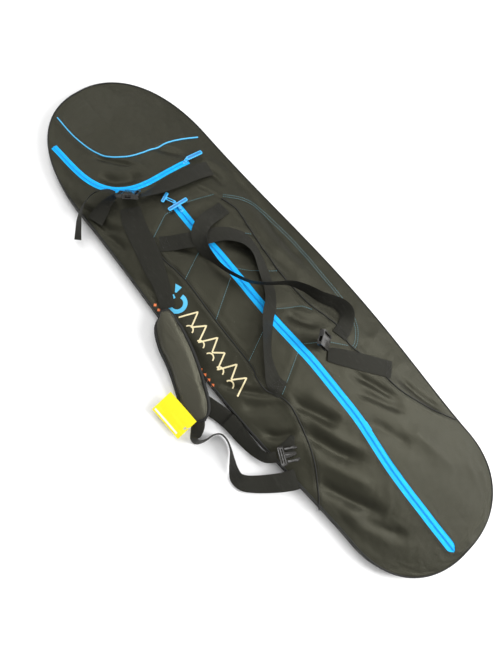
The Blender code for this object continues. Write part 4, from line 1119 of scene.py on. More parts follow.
ZIP_CUT = -0.3360
TAPE_HALF, TAPE_THICK, TOOTH_STEP = 0.0152, 0.0011, 0.0022
nose_tape = strip("main_zip_tape_nose", zip_rows(-0.366, ZIP_CUT, -TAPE_HALF, TAPE_HALF, 12, step=0.003),
    TAPE_THICK, BLUE_TAPE)
tooth = small_shape("zip_tooth", 0.0016, 0.0046, 0.0017)
nose_teeth = repeat_along("main_zip_teeth_nose", [tooth_chain(-0.362, ZIP_CUT, 0.0)], tooth, TOOTH_STEP,
    AZURE_TEETH, 0.0)
nose_zip = joined("main_zip_at_nose", [nose_tape, nose_teeth])
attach(nose_zip, "root")
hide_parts("main_zip_nose")
for side, sign in (("left", -1), ("right", 1)):
    low, high = sorted((sign * 0.0003, sign * TAPE_HALF))
    tape = strip(f"main_zip_tape_{side}", zip_rows(ZIP_CUT, 0.804, low, high, 7), TAPE_THICK, BLUE_TAPE)
    tooth = small_shape("zip_tooth", 0.0016, 0.0030, 0.0018)
    teeth = repeat_along(f"main_zip_teeth_{side}", [tooth_chain(ZIP_CUT, 0.800, sign * 0.0013)], tooth,
        TOOTH_STEP, AZURE_TEETH, 0.0)
    half = joined(f"main_zip_half_{side}", [tape, teeth])
    open_with_flap(half, side)
    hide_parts(f"main_zip_{side}", f"main_zip_tail_{side}")

# %% [markdown]
# The pocket's zip is the same tape on a smaller scale, curved across the nose, on the fixed part.

# %% Pocket zip
def pocket_tape_rows(low, high, across):
    path = through(np.array(POCKET_ZIP), 10)
    rows = []
    for i, (x, y) in enumerate(path):
        a, b = path[max(i - 1, 0)], path[min(i + 1, len(path) - 1)]
        way = (b - a) / np.linalg.norm(b - a)
        rows.append([tuple(on_cloth(x - way[1] * s, y + way[0] * s, 0.0006)[0]) for s in np.linspace(low,
            high, across)])
    return rows


pocket_tape = strip("pocket_tape", pocket_tape_rows(-0.0086, 0.0086, 9), TAPE_THICK, BLUE_TAPE)
tooth = small_shape("zip_tooth", 0.0016, 0.0046, 0.0017)
pocket_teeth = repeat_along("pocket_teeth", [drape(POCKET_ZIP, 0.0016)], tooth, TOOTH_STEP, AZURE_TEETH, 0.0)
pocket_zip = joined("pocket_zip", [pocket_tape, pocket_teeth])
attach(pocket_zip, "root")
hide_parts("pocket_zip_tape", "pocket_zip_coil")
print("pocket zip faces:", len(pocket_zip.data.polygons))

# %% [markdown]
# ## Pipings and seams
# The light blue piping marks the pocket's top. Black cords sit in the two long seams, each pinched
# between two panels, with a row of black stitches on both sides. Pale blue thread draws the ribs across
# the middle panels and a double line round the wing-shaped panel on the right.

# %% Pipings and stitch lines
def beside(line, distance):
    path = through(np.array(line, float)[:, :2], 6) if len(line) > 2 else np.array(line, float)
    return offset_path(path, distance)


blue_piping = tube("pocket_piping_cord", drape(POCKET_PIPING, 0.0010)[0], 0.0021, BLUE_CORD)
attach(blue_piping, "root")
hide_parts("pocket_piping")
for side, seam in (("left", LEFT_SEAM[1:]), ("right", RIGHT_SEAM[1:])):
    seam_cord = tube(f"seam_cord_{side}", drape(seam, 0.0010)[0], 0.0018, BLACK_CORD)
    open_with_flap(seam_cord, side)
    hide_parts(f"seam_piping_{side}")
    dark = stitches(f"seam_stitches_{side}", [beside(seam, 0.0065), beside(seam, -0.0065)], DARK_THREAD)
    open_with_flap(dark, side)
pale_left = stitches("rib_stitches_left", CHEVRONS_LEFT, THREAD, thick=0.0013)
pale_right = stitches("rib_stitches_right", CHEVRONS_RIGHT + (beside(WING_SEAM, 0.002),
    beside(WING_SEAM, 0.009)), THREAD, thick=0.0013)
for side, pale in (("left", pale_left), ("right", pale_right)):
    open_with_flap(pale, side)
POCKET_TOP = stitches("pocket_stitches", [
    beside(POCKET_PIPING, -0.006), beside(POCKET_ZIP, 0.0125), beside(POCKET_ZIP, -0.0125),
    ((-0.540, -0.222), (-0.472, -0.183))], DARK_THREAD)
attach(POCKET_TOP, "root")
edge_lines = {side: [[(x, float(zip_y(x)) + sign * 0.0175) for x in np.linspace(-0.33, 0.798, 90)]]
              for side, sign in (("left", -1), ("right", 1))}
for side, lines in edge_lines.items():
    hem = stitches(f"zip_hem_stitches_{side}", lines, DARK_THREAD)
    open_with_flap(hem, side)

# %% [markdown]
# ## The edge, the side wall and the underside
# A black piping runs round the top edge and another round the bottom one. Between them the side wall is
# soft cloth that bulges a little and ripples. The underside is one plain panel that takes the wear.

# %% Edge pipings and side wall
def inward(ring):
    """The direction into the bag at each point of a ring."""
    way = np.roll(ring, -1, axis=0) - np.roll(ring, 1, axis=0)
    way /= np.linalg.norm(way, axis=1, keepdims=True)
    return np.column_stack([-way[:, 1], way[:, 0]])


def outline_ring(inset, count=420):
    turn = np.linspace(0, 2 * np.pi, count, endpoint=False)
    x = np.cos(turn)
    x = np.where(x < 0, -np.abs(x) ** 0.90, np.abs(x) ** 0.90) * (TAIL_END - 0.0003)
    y = np.sign(np.sin(turn)) * half_width(x)
    ring = np.column_stack([x, y])
    steps = np.linalg.norm(np.roll(ring, -1, axis=0) - ring, axis=1)
    marks = np.concatenate([[0], np.cumsum(steps)])
    even = np.linspace(0, marks[-1], count, endpoint=False)
    closed = np.vstack([ring, ring[:1]])
    ring = np.column_stack([np.interp(even, marks, closed[:, 0]), np.interp(even, marks, closed[:, 1])])
    return ring + inset * inward(ring)


ring = outline_ring(0.0020)
top_cord = tube("edge_cord_top", [(x, y, EDGE_HEIGHT - 0.0002) for x, y in ring], 0.0023, BLACK_CORD,
    closed=True)
low_cord = tube("edge_cord_bottom", [(x, y, 0.0022) for x, y in ring], 0.0022, BLACK_CORD, closed=True)
edge_cord = joined("edge_cords", [top_cord, low_cord])
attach(edge_cord, "root")
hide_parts("piping_top", "piping_bottom")


def side_wall():
    outer = outline_ring(0.0016)
    into_bag = inward(outer)
    levels, count = 10, len(outer)
    around = np.arange(count) / count * 2 * np.pi
    rows = []
    for wall in (0.0, 0.0015):
        for k in range(levels + 1):
            share = k / levels
            swell = 0.0020 * math.sin(math.pi * share)
            ripple = 0.0009 * np.sin(61 * around + 3 * share) * math.sin(math.pi * share) \
                + 0.0006 * np.sin(147 * around - 5 * share) * math.sin(math.pi * share)
            shift = wall - swell - ripple + 0.0006
            place = outer + into_bag * shift[:, None]
            rows.append(np.column_stack([place, np.full(count, 0.0032 + share * (EDGE_HEIGHT - 0.0056))]))
    order = list(range(levels + 1)) + list(range(2 * levels + 1, levels, -1))
    faces = band_faces(zip(order, order[1:] + order[:1]), count)
    wall = face_outwards(mesh_object("side_wall", np.vstack(rows), faces))
    lengths = np.tile(np.arange(count) / count * 4.1, 2 * (levels + 1))
    write_uv(wall.data, "cloth_metres", np.column_stack([lengths, np.vstack(rows)[:, 2]]))
    return finish_piece(wall, BLACK_CLOTH, "root")


wall = side_wall()
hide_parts("side_band_left", "side_band_right", "side_band_nose", "side_band_tail")
print("side wall faces:", len(wall.data.polygons))

# %% Underside and foam lining
SHEET_RING = 240


def disc_rows(inset, heights, levels=16):
    """Rings from the outline inwards to a line along the middle, as one closed sheet."""
    ring = outline_ring(inset, SHEET_RING)
    middle = np.column_stack([ring[:, 0] * 0.86, np.zeros(len(ring))])
    return [np.column_stack([ring + (middle - ring) * (k / levels),
        heights(ring + (middle - ring) * (k / levels))])
            for k in range(levels + 1)]


def lying_sheet(name, inset, low, high, material, ripple):
    def upper(p):
        return high + ripple * np.sin(19 * p[:, 0] + 6 * p[:, 1]) * np.sin(23 * p[:, 1] + 2)

    def lower(p):
        return np.full(len(p), low) + 0.0004 * (1 + np.sin(15 * p[:, 0]) * np.sin(21 * p[:,
            1])) * (low < 0.002)
    rows = disc_rows(inset, lower)[::-1] + disc_rows(inset, upper)
    sheet = mesh_object(name, np.vstack(rows), ring_after_ring(len(rows), SHEET_RING))
    work = bmesh.new()
    work.from_mesh(sheet.data)
    bmesh.ops.remove_doubles(work, verts=work.verts, dist=0.00002)
    bmesh.ops.dissolve_degenerate(work, dist=0.00001, edges=work.edges)
    bmesh.ops.recalc_face_normals(work, faces=work.faces)
    work.to_mesh(sheet.data)
    work.free()
    metre_uv(sheet.data)
    return finish_piece(sheet, material, "root")


underside = lying_sheet("underside_panel", 0.0046, 0.0003, 0.0019, BLACK_CLOTH, 0.0)
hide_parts("base_panel")
foam = lying_sheet("foam_lining", 0.0125, 0.0024, 0.0066, LINING, 0.0007)
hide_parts("base_foam")
print("underside:", len(underside.data.polygons), "foam:", len(foam.data.polygons))

# %% [markdown]
# ## Webbing that lies on the bag and webbing that twists
# A sewn strap follows the arch of the bag. A loose one stands up, rolls over and lies down again, so each
# point of its route carries a width and a turn: 0 lies flat and 90 stands on its edge. A strap never
# sinks into what it lies on: where it would, it is raised.

# %% Strap routes to surfaces
STRAP_LIE, WEB_THICK = 0.0022, 0.0018


def ground_under(x, y):
    beyond = abs(y) - float(half_width(x)) if abs(x) < TAIL_END else 1.0
    if beyond >= 0.004:
        return -STRAP_LIE + 0.0003
    return float(arch(x, y)) + (0.001 if beyond > -0.01 else 0.0)


def pressed_end(rows, thick, flat=0.022, rise=0.055):
    """Brings both ends of a free strap down onto the cloth, where they are sewn."""
    middles = [row[len(row) // 2] for row in rows]
    for row, middle in zip(rows, middles):
        away = min((middle.xy - middles[0].xy).length, (middle.xy - middles[-1].xy).length)
        free = float(ease((away - flat) / rise))
        for p in row:
            p.z = free * p.z + (1 - free) * (on_cloth(p.x, p.y)[0].z + 0.0010 + thick / 2)
    return rows


def strap_axes(path, i, turn):
    """The sideways and facing directions of a strap at a step of its route."""
    ahead = (Vector(path[min(i + 1, len(path) - 1)][:3]) - Vector(path[max(i - 1, 0)][:3])).normalized()
    side = Vector((-ahead.y, ahead.x, 0)).normalized()
    side.rotate(Matrix.Rotation(math.radians(turn), 3, ahead))
    return side, ahead.cross(side)


def free_webbing(name, route, thick=WEB_THICK, across=9, per_span=9, sag=0.0, pressed=False):
    path = through(route, per_span)
    rows = []
    for i, (x, y, z, width, turn) in enumerate(path):
        side, face = strap_axes(path, i, turn)
        spots = [Vector((x, y, z)) + side * (c * width / 2) + face * (-sag * (1 - c * c))
                 for c in np.linspace(-1, 1, across)]
        rise = max(0.0, max(ground_under(p.x, p.y) + STRAP_LIE + thick / 2 - p.z for p in (spots[0],
            spots[-1])))
        rows.append([p + Vector((0, 0, rise)) for p in spots])
    if pressed:
        pressed_end(rows, thick)
    return strip(name, rows, thick, WEBBING)


def sewn_webbing(name, route, lift, across=9, per_span=10, thick=WEB_THICK, wave=0.0):
    """A strap that follows the bag's arch and rests on the highest fold below each of its rows."""
    path = through(route, per_span)
    rows = []
    for i, (x, y, width) in enumerate(path):
        ahead = path[min(i + 1, len(path) - 1)][:2] - path[max(i - 1, 0)][:2]
        ahead /= np.linalg.norm(ahead)
        row = []
        for c in np.linspace(-1, 1, across):
            px, py = x - ahead[1] * c * width / 2, y + ahead[0] * c * width / 2
            row.append(Vector((px, py, float(arch(px,
                py)) + thick / 2 + wave * math.sin(i * 0.16) * (1 - 0.5 * c * c))))
        rows.append(row)
    fold = np.array([max(on_cloth(p.x, p.y)[0].z - float(arch(p.x, p.y)) for p in row) for row in rows])
    padded = np.pad(fold, 4, mode="edge")
    highest = np.max([padded[k:k + len(fold)] for k in range(9)], axis=0)
    even = np.convolve(np.pad(highest, 4, mode="edge"), np.ones(9) / 9, mode="valid")
    for row, height in zip(rows, even):
        for p in row:
            p.z += float(height) + lift
    return strip(name, rows, thick, WEBBING)


def stitched_box(name, strap, corners, body, lift=0.0006):
    """A closed row of stitches on a strap, with a cross in it: how load-bearing webbing is sewn down."""
    tree = BVHTree.FromObject(strap, bpy.context.evaluated_depsgraph_get())
    a, b, c, d = corners
    chains = []
    for start, finish in ((a, b), (b, c), (c, d), (d, a), (a, c), (b, d)):
        spots, facing = [], []
        for t in np.linspace(0, 1, 12):
            x, y = start[0] + (finish[0] - start[0]) * t, start[1] + (finish[1] - start[1]) * t
            hit, normal, _, _ = tree.ray_cast(Vector((x, y, 0.3)), Vector((0, 0, -1)))
            if hit is not None:
                spots.append(hit + Vector((0, 0, lift)))
                facing.append(normal if normal.z > 0 else -normal)
        if len(spots) > 2:
            chains.append((spots, facing))
    sewn = repeat_along(name, chains, small_shape("stitch", 0.0034, 0.0009, 0.0008), 0.0048, DARK_THREAD)
    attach(sewn, body)
    return sewn


print("strap helpers ready")

# %% [markdown]
# ## Handles
# Two loops of webbing are sewn to the seams. Thrown over each other on the bag, they stand on edge in the
# middle and lie flat at their sewn ends. Their middle lifts with the hand while the ends stay sewn down,
# so each is bent between the flap it is sewn to and the handle's own body.

# %% Handles
HANDLE_RIGHT = (
    (-0.266, 0.100, 0.0700, 0.044, -3), (-0.262, 0.054, 0.0775, 0.044, -2), (-0.250, 0.007, 0.0840, 0.044, 0),
    (-0.229, -0.020, 0.0860, 0.044, 16), (-0.190, -0.034, 0.0900, 0.044, 58),
    (-0.148, -0.034, 0.0960, 0.044, 86),
    (-0.115, -0.031, 0.1000, 0.044, 97), (-0.082, -0.022, 0.1030, 0.044, 101),
    (-0.038, 0.000, 0.1060, 0.044, 102),
    (-0.007, 0.033, 0.1060, 0.044, 100), (0.026, 0.080, 0.1040, 0.044, 94), (0.062, 0.109, 0.0930, 0.044, 84),
    (0.104, 0.130, 0.0840, 0.044, 72), (0.150, 0.158, 0.0780, 0.044, 60), (0.183, 0.160, 0.0720, 0.044, 40),
    (0.206, 0.134, 0.0700, 0.044, 18), (0.214, 0.104, 0.0690, 0.044, 6))
HANDLE_LEFT = (
    (-0.285, -0.112, 0.0630, 0.044, 3), (-0.256, -0.071, 0.0705, 0.044, 2),
    (-0.232, -0.034, 0.0750, 0.044, 0),
    (-0.217, 0.000, 0.0765, 0.044, -2), (-0.198, 0.040, 0.0770, 0.044, -8),
    (-0.164, 0.070, 0.0770, 0.044, -20),
    (-0.125, 0.078, 0.0780, 0.044, -40), (-0.085, 0.070, 0.0800, 0.044, -48),
    (-0.042, 0.053, 0.0810, 0.034, -30),
    (0.000, 0.036, 0.0770, 0.030, -12), (0.031, 0.014, 0.0770, 0.034, -20),
    (0.060, -0.022, 0.0830, 0.044, -40),
    (0.100, -0.060, 0.0870, 0.044, -52), (0.142, -0.092, 0.0850, 0.044, -50),
    (0.184, -0.112, 0.0760, 0.044, -30),
    (0.208, -0.116, 0.0685, 0.044, -8), (0.228, -0.110, 0.0650, 0.044, 0))


def sewn_to(piece, body, other, share):
    """Bends a piece between two bodies, with a share of the second body for every point."""
    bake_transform(piece, body, other, start=(0, 0, 0), end=(0, 0.1, 0))
    return set_shares(piece, share)


for side, route in (("right", HANDLE_RIGHT), ("left", HANDLE_LEFT)):
    handle = free_webbing(f"handle_{side}_webbing", route, sag=0.0012, pressed=True)
    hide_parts(f"handle_{side}")
    first, last = np.array(route[0][:2]), np.array(route[-1][:2])
    sewn_to(handle, f"flap_{side}", f"handle_{side}", lambda p, a=first, b=last: ease(
        (np.minimum(np.linalg.norm(p[:, :2] - a, axis=1), np.linalg.norm(p[:, :2] - b,
        axis=1)) - 0.018) / 0.10))
    if side == "right":
        corners = [((-0.280, 0.080), (-0.252, 0.080), (-0.253, 0.098), (-0.281, 0.098)),
                   ((0.200, 0.108), (0.228, 0.108), (0.226, 0.124), (0.198, 0.124))]
    else:
        corners = [((-0.293, -0.104), (-0.268, -0.110), (-0.262, -0.094), (-0.286, -0.088)),
                   ((0.200, -0.128), (0.222, -0.126), (0.224, -0.102), (0.203, -0.102))]
    for k, box_corners in enumerate(corners):
        stitched_box(f"handle_{side}_bartack_{k}", handle, box_corners, f"flap_{side}")
    print("handle", side, len(handle.data.polygons), "faces")

# %% [markdown]
# ## Compression straps
# Across the collar a strap is buckled over the bag's nose, with its loose end hanging to the left. Nearer
# the tail a second strap is open: its long part lies on the right, and a short sewn tab and the other
# buckle half stay on the left.

# %% Strap webbing
NOSE_BUCKLE = Vector((-0.4490, -0.1050, 0.0800))
NOSE_PULL = Vector((-0.667, -0.745, -0.06)).normalized()
NOSE_TURN = 45
TAIL_PLUG, TAIL_PLUG_ALONG = Vector((0.3545, -0.2120, 0.0600)), Vector((0.46, 0.88, 0.08)).normalized()
TAIL_SOCKET, TAIL_SOCKET_ALONG = Vector((0.2100, 0.0330, 0.0985)), Vector((-0.56, 0.82, 0.0)).normalized()
BAR_LENGTH = 0.016

NOSE_ROUTE = ((-0.392, 0.150, 0.0035, 0.048, 0), (-0.399, 0.105, 0.0095, 0.048, 0),
    (-0.404, 0.060, 0.0110, 0.047, 2),
              (-0.409, 0.015, 0.0125, 0.043, 8), (-0.4125, -0.020, 0.0140, 0.037, 20),
              (-0.4165, -0.050, 0.0175, 0.031, 34),
              (-0.4215, -0.0735, 0.0215, 0.028, 44))
nose_right = free_webbing("nose_strap_sewn", [
    (x, y, float(arch(x, y)) + lift, width, turn) for x, y, lift, width, turn in NOSE_ROUTE])
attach(nose_right, "root")
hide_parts("nose_strap_right")
end = NOSE_BUCKLE + NOSE_PULL * (BAR_LENGTH + 0.003)
nose_anchor = free_webbing("nose_strap_fold", (
    (end.x - 0.001, end.y - 0.005, end.z - 0.0085, 0.034, NOSE_TURN - 8), (-0.463, -0.152, 0.0610, 0.038, 20),
    (-0.455, -0.182, 0.0500, 0.044, 8), (-0.447, -0.207, 0.0420, 0.046, 0)))
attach(nose_anchor, "root")
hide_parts("nose_strap_anchor")
nose_end = free_webbing("nose_strap_loose_end", (
    (end.x - 0.003, end.y - 0.002, end.z + 0.0015, 0.030, NOSE_TURN), (-0.481, -0.136, 0.0860, 0.027, 42),
    (-0.496, -0.153, 0.0800, 0.027, 56), (-0.502, -0.177, 0.0700, 0.027, 62),
    (-0.496, -0.205, 0.0600, 0.027, 58),
    (-0.478, -0.233, 0.0480, 0.027, 50), (-0.457, -0.254, 0.0360, 0.027, 42),
    (-0.438, -0.272, 0.0240, 0.027, 34)))
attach(nose_end, "nose_plug")
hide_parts("nose_strap_tail")
tail_right = sewn_webbing("tail_strap_long_part", (
    (0.372, 0.158, 0.048), (0.335, 0.128, 0.048), (0.290, 0.092, 0.048), (0.250, 0.060, 0.044),
    (0.232, 0.043, 0.036)),
    0.0008, wave=0.0007)
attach(tail_right, "tail_strap")
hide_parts("tail_strap_right")
stitched_box("tail_strap_bartack", tail_right, ((0.366, 0.176), (0.386, 0.150), (0.370, 0.138),
    (0.350, 0.163)), "tail_strap")
tail_tab = sewn_webbing("tail_strap_sewn_tab", ((0.3300, -0.1640, 0.010), (0.3400, -0.1830, 0.028),
    (0.3480, -0.2000, 0.044)), 0.0008)
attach(tail_tab, "root")
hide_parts("tail_anchor_tab")
end = TAIL_PLUG - TAIL_PLUG_ALONG * (BAR_LENGTH + 0.0015)
tail_left = free_webbing("tail_strap_short_part", (
    (end.x - 0.004, end.y - 0.004, end.z, 0.028, -12), (0.330, -0.249, 0.0480, 0.028, -30),
    (0.312, -0.256, 0.0340, 0.032, -40), (0.290, -0.259, 0.0260, 0.036, -34),
    (0.255, -0.261, 0.0220, 0.040, -28),
    (0.220, -0.262, 0.0210, 0.042, -26), (0.185, -0.265, 0.0190, 0.044, -24),
    (0.152, -0.273, 0.0170, 0.044, -20),
    (0.118, -0.283, 0.0155, 0.044, -18)))
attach(tail_left, "root")
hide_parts("tail_strap_left")

# %% [markdown]
# ## Side-release buckles
# A side-release buckle has a flat hollow socket with a window on each side, and a plug with two springy
# prongs whose hooked ends click into the windows. Each part is a moulded plate: an outline given a
# thickness, its windows cut out, and its edges rounded as a mould leaves them.

# %% Moulded plates
def frame_at(place, along, turn=0.0):
    x = Vector(along).normalized()
    y = Vector((0, 0, 1)).cross(x).normalized()
    basis = Matrix((x, y, x.cross(y))).transposed().to_4x4()
    return Matrix.Translation(Vector(place)) @ basis @ Matrix.Rotation(math.radians(turn), 4, "X")


def prism(outline, low, high):
    count = len(outline)
    points = [(x, y, low) for x, y in outline] + [(x, y, high) for x, y in outline]
    faces = [tuple(range(count)), tuple(count + i for i in range(count))]
    faces += [(i, (i + 1) % count, count + (i + 1) % count, count + i) for i in range(count)]
    return face_outwards(mesh_object("prism", points, faces))


def rectangle(x0, x1, y0, y1):
    return ((x0, y0), (x1, y0), (x1, y1), (x0, y1))


def moulded(name, outline, low, high, frame_matrix, cuts=(), soft=0.0009):
    """A plate with cuts, each an outline with its own low and high, and with rounded edges."""
    plate = prism(outline, low, high)
    tools = [prism(*cut) for cut in cuts]
    for tool in tools:
        work = plate.modifiers.new("cut", "BOOLEAN")
        work.object = tool
        work.operation = "DIFFERENCE"
    work = plate.modifiers.new("rounded", "BEVEL")
    work.width = soft
    work.segments = 2
    work.limit_method = "ANGLE"
    work.angle_limit = math.radians(40)
    mesh = finished_mesh(plate)
    for used in [plate] + tools:
        bpy.data.objects.remove(used, do_unlink=True)
    mesh.transform(frame_matrix)
    return linked(name, mesh)


def rounded_outline(x0, x1, half, corner, steps=5):
    made = []
    for cx, cy, start in ((x1 - corner, half - corner, 0), (x0 + corner, half - corner, 90),
                          (x0 + corner, corner - half, 180), (x1 - corner, corner - half, 270)):
        for k in range(steps + 1):
            a = math.radians(start + 90 * k / steps)
            made.append((cx + corner * math.cos(a), cy + corner * math.sin(a)))
    return made


print("moulding helper ready")

# %% Buckle halves
BUCKLE_DEEP = 0.00625


def buckle_socket(name, frame_matrix):
    waist = [(0.0, 0.024), (0.004, 0.0258), (0.010, 0.0255), (0.020, 0.0235), (0.030, 0.0235),
        (0.038, 0.0255), (0.042, 0.0245)]
    outline = [(x, -y) for x, y in waist] + [(x, y) for x, y in reversed(waist)]
    cuts = [
        (rectangle(-0.002, 0.0365, -0.0222, 0.0222), -0.0040, 0.0040),
        (rectangle(0.007, 0.023, 0.0205, 0.030), -0.0042, 0.0042),
        (rectangle(0.007, 0.023, -0.030, -0.0205), -0.0042, 0.0042),
        (rectangle(0.0325, 0.0385, -0.0205, 0.0205), -0.010, 0.010)]
    body = moulded("socket_body", outline, -BUCKLE_DEEP, BUCKLE_DEEP, frame_matrix, cuts, 0.0011)
    ribs = [moulded("socket_rib", rounded_outline(x, x + 0.0022, 0.0125, 0.0010), BUCKLE_DEEP - 0.0004,
        BUCKLE_DEEP + 0.0006,
                    frame_matrix, soft=0.0003) for x in (0.010, 0.0145, 0.019)]
    whole = joined(name, [body] + ribs)
    return finish_piece(whole, NYLON, smooth=30)


def buckle_plug(name, frame_matrix):
    outline = [(-0.016, -0.0245), (-0.0125, -0.0252), (-0.001, -0.0238), (-0.001, -0.0080), (0.020, -0.0048),
               (0.0275, -0.0034), (0.0275, 0.0034), (0.020, 0.0048), (-0.001, 0.0080), (-0.001, 0.0238),
               (-0.0125, 0.0252), (-0.016, 0.0245)]
    cuts = [(rectangle(-0.0130, -0.0104, -0.0195, 0.0195), -0.01, 0.01),
        (rectangle(-0.0070, -0.0046, -0.0195, 0.0195), -0.01, 0.01)]
    body = moulded("plug_body", outline, -0.0034, 0.0034, frame_matrix, cuts, 0.0009)
    rail = moulded("plug_rail", rectangle(-0.001, 0.022, -0.0020, 0.0020), 0.0030, 0.0044, frame_matrix,
        soft=0.0003)
    return finish_piece(joined(name, [body, rail]), NYLON, smooth=30)


def buckle_prong(name, frame_matrix, side):
    shape = [(0.0006, 0.0130), (0.010, 0.0138), (0.020, 0.0138), (0.031, 0.0125), (0.0338, 0.0140),
        (0.0335, 0.0168),
             (0.026, 0.0208), (0.0225, 0.0214), (0.0218, 0.0192), (0.012, 0.0190), (0.0006, 0.0202)]
    outline = [(x, side * y) for x, y in shape]
    return finish_piece(moulded(name, outline, -0.0032, 0.0032, frame_matrix, soft=0.0009), NYLON,
        smooth=30)


nose_frame = frame_at(NOSE_BUCKLE, -NOSE_PULL, -NOSE_TURN)
tail_plug_frame = frame_at(TAIL_PLUG, TAIL_PLUG_ALONG, -24)
tail_socket_frame = frame_at(TAIL_SOCKET, TAIL_SOCKET_ALONG, 52)
for label, matrix, plug_body in (("nose", nose_frame, "nose_plug"), ("tail", tail_plug_frame, "root")):
    plug = buckle_plug(f"{label}_buckle_plug", matrix)
    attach(plug, plug_body)
    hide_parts(f"{label}_plug")
    for side, word in ((-1, "near"), (1, "far")):
        prong = buckle_prong(f"{label}_buckle_prong_{word}", matrix, side)
        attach(prong, f"{label}_prong_{word}")
        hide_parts(f"{label}_prong_{word}")
for label, matrix, body in (("nose", nose_frame, "root"), ("tail", tail_socket_frame, "tail_strap")):
    socket = buckle_socket(f"{label}_buckle_socket", matrix)
    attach(socket, body)
    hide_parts(f"{label}_socket")

# %% [markdown]
# ## Sliders and pulls
# A slider is a small moulded saddle with a bridge over it. A link runs from the bridge to a long moulded
# grip with a slot, drawn as a thin darker azure plate: painted shade where the slot sinks. Where each
# one stands comes from the CAD: the box of its slider, and the place and axis of the joint that its pull
# swings on.

# %% Sliders and pulls
def slider_body(name, node_name, along, body):
    low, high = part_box(node_name)
    middle = (low + high) / 2
    matrix = frame_at((middle.x, middle.y, low.z), along)
    size = 0.0085 if node_name != "pocket_slider" else 0.0066
    outline = [(-size, -0.0030), (-size * 0.4, -0.0036), (size * 0.2, -0.0054), (size * 0.85, -0.0050),
        (size, -0.0030),
               (size, 0.0030), (size * 0.85, 0.0050), (size * 0.2, 0.0054), (-size * 0.4, 0.0036),
               (-size, 0.0030)]
    saddle = moulded("saddle", outline, 0.0, 0.0022, matrix, soft=0.0006)
    arc = [(-size * 0.62 + size * 1.24 * t, 0.0,
        0.0018 + 0.0030 * math.sin(math.pi * t)) for t in np.linspace(0, 1, 12)]
    bridge = tube("bridge", [matrix @ Vector(p) for p in arc], 0.0011, AZURE_MOULD, sides=8)
    bridge.data.materials.clear()
    whole = joined(name, [saddle, bridge])
    finish_piece(whole, AZURE_MOULD, body, 35)
    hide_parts(node_name)
    return whole


def pull_frame(joint_name):
    joint = joints[joint_name]
    axis = Vector(joint["axis"])
    out = (-axis).cross(Vector((0, 0, 1))).normalized()
    return frame_at(joint["pos_m"], out)


def moulded_pull(name, joint_name, node_name, grip, body, swivel=0.0):
    """grip: (start along the pull, length along, length across, thickness) of the moulded bar."""
    matrix = pull_frame(joint_name)
    start, long, wide, thick = grip
    rivet_place = Matrix.Translation((start, 0, 0))
    bar_matrix = matrix @ rivet_place @ Matrix.Rotation(math.radians(swivel), 4, "Z") @ rivet_place.inverted()
    link = moulded("pull_link", rounded_outline(-0.0011, start + 0.004, 0.0042, 0.0030), -0.0008, 0.0009,
        matrix,
                   cuts=[(rounded_outline(0.0022, start - 0.001, 0.0020, 0.0014), -0.01,
                   0.01)] if start > 0.008 else (), soft=0.0004)
    bar = moulded("pull_bar", rounded_outline(start, start + long, wide / 2, min(long, wide) * 0.30),
        -0.0008, thick, bar_matrix, soft=0.0009)
    inset = 0.24 * min(long, wide)
    slot_outline = rounded_outline(start + inset, start + long - inset, wide / 2 - inset,
        min(long, wide) * 0.15)
    # A thin darker plate on top of the grip: painted shade where the slot sinks.
    slot_painted_shade = moulded("pull_slot", slot_outline, thick - 0.0003, thick + 0.0002, bar_matrix, soft=0.00015)
    rivet = moulded("pull_rivet", rounded_outline(start - 0.0030, start + 0.0030, 0.0030, 0.0029), 0.0006,
        0.0020, matrix, soft=0.0004)
    for piece, material in ((link, AZURE_MOULD), (bar, AZURE_MOULD), (slot_painted_shade, SLOT_PAINTED_SHADE),
            (rivet, AZURE_MOULD)):
        piece.data.materials.clear()
        piece.data.materials.append(material)
    whole = joined(name, [link, bar, slot_painted_shade, rivet])
    whole.data.shade_smooth()
    whole.data.set_sharp_from_angle(angle=math.radians(35))
    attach(whole, body)
    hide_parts(node_name)
    return whole


slider_body("front_zip_slider", "front_slider", (1.0, 0.02, 0.0), "front_slider")
slider_body("rear_zip_slider", "rear_slider", (-1.0, -0.02, 0.0), "root")
slider_body("pocket_zip_slider", "pocket_slider", (0.05, 1.0, 0.0), "pocket_slider")
moulded_pull("front_zip_pull", "front_pull_flip", "front_pull", (0.0090, 0.0110, 0.062, 0.0021), "front_pull")
moulded_pull("rear_zip_pull", "rear_pull_flip", "rear_pull", (0.0270, 0.0090, 0.032, 0.0019), "rear_pull")
moulded_pull("pocket_zip_pull", "pocket_pull_flip", "pocket_pull", (0.0090, 0.0500, 0.0125, 0.0018),
    "pocket_pull", swivel=-32)

# %% [markdown]
# ## The shoulder strap
# Wide webbing runs from the buckle down to the pad and narrows on the way. Below the pad the webbing
# stands on its edge, turns over twice and is sewn to the bag's side. The pad is foam in a stretch cover,
# with a bound rim and a raised panel. It is swelled by the cloth solver, as stuffing does.

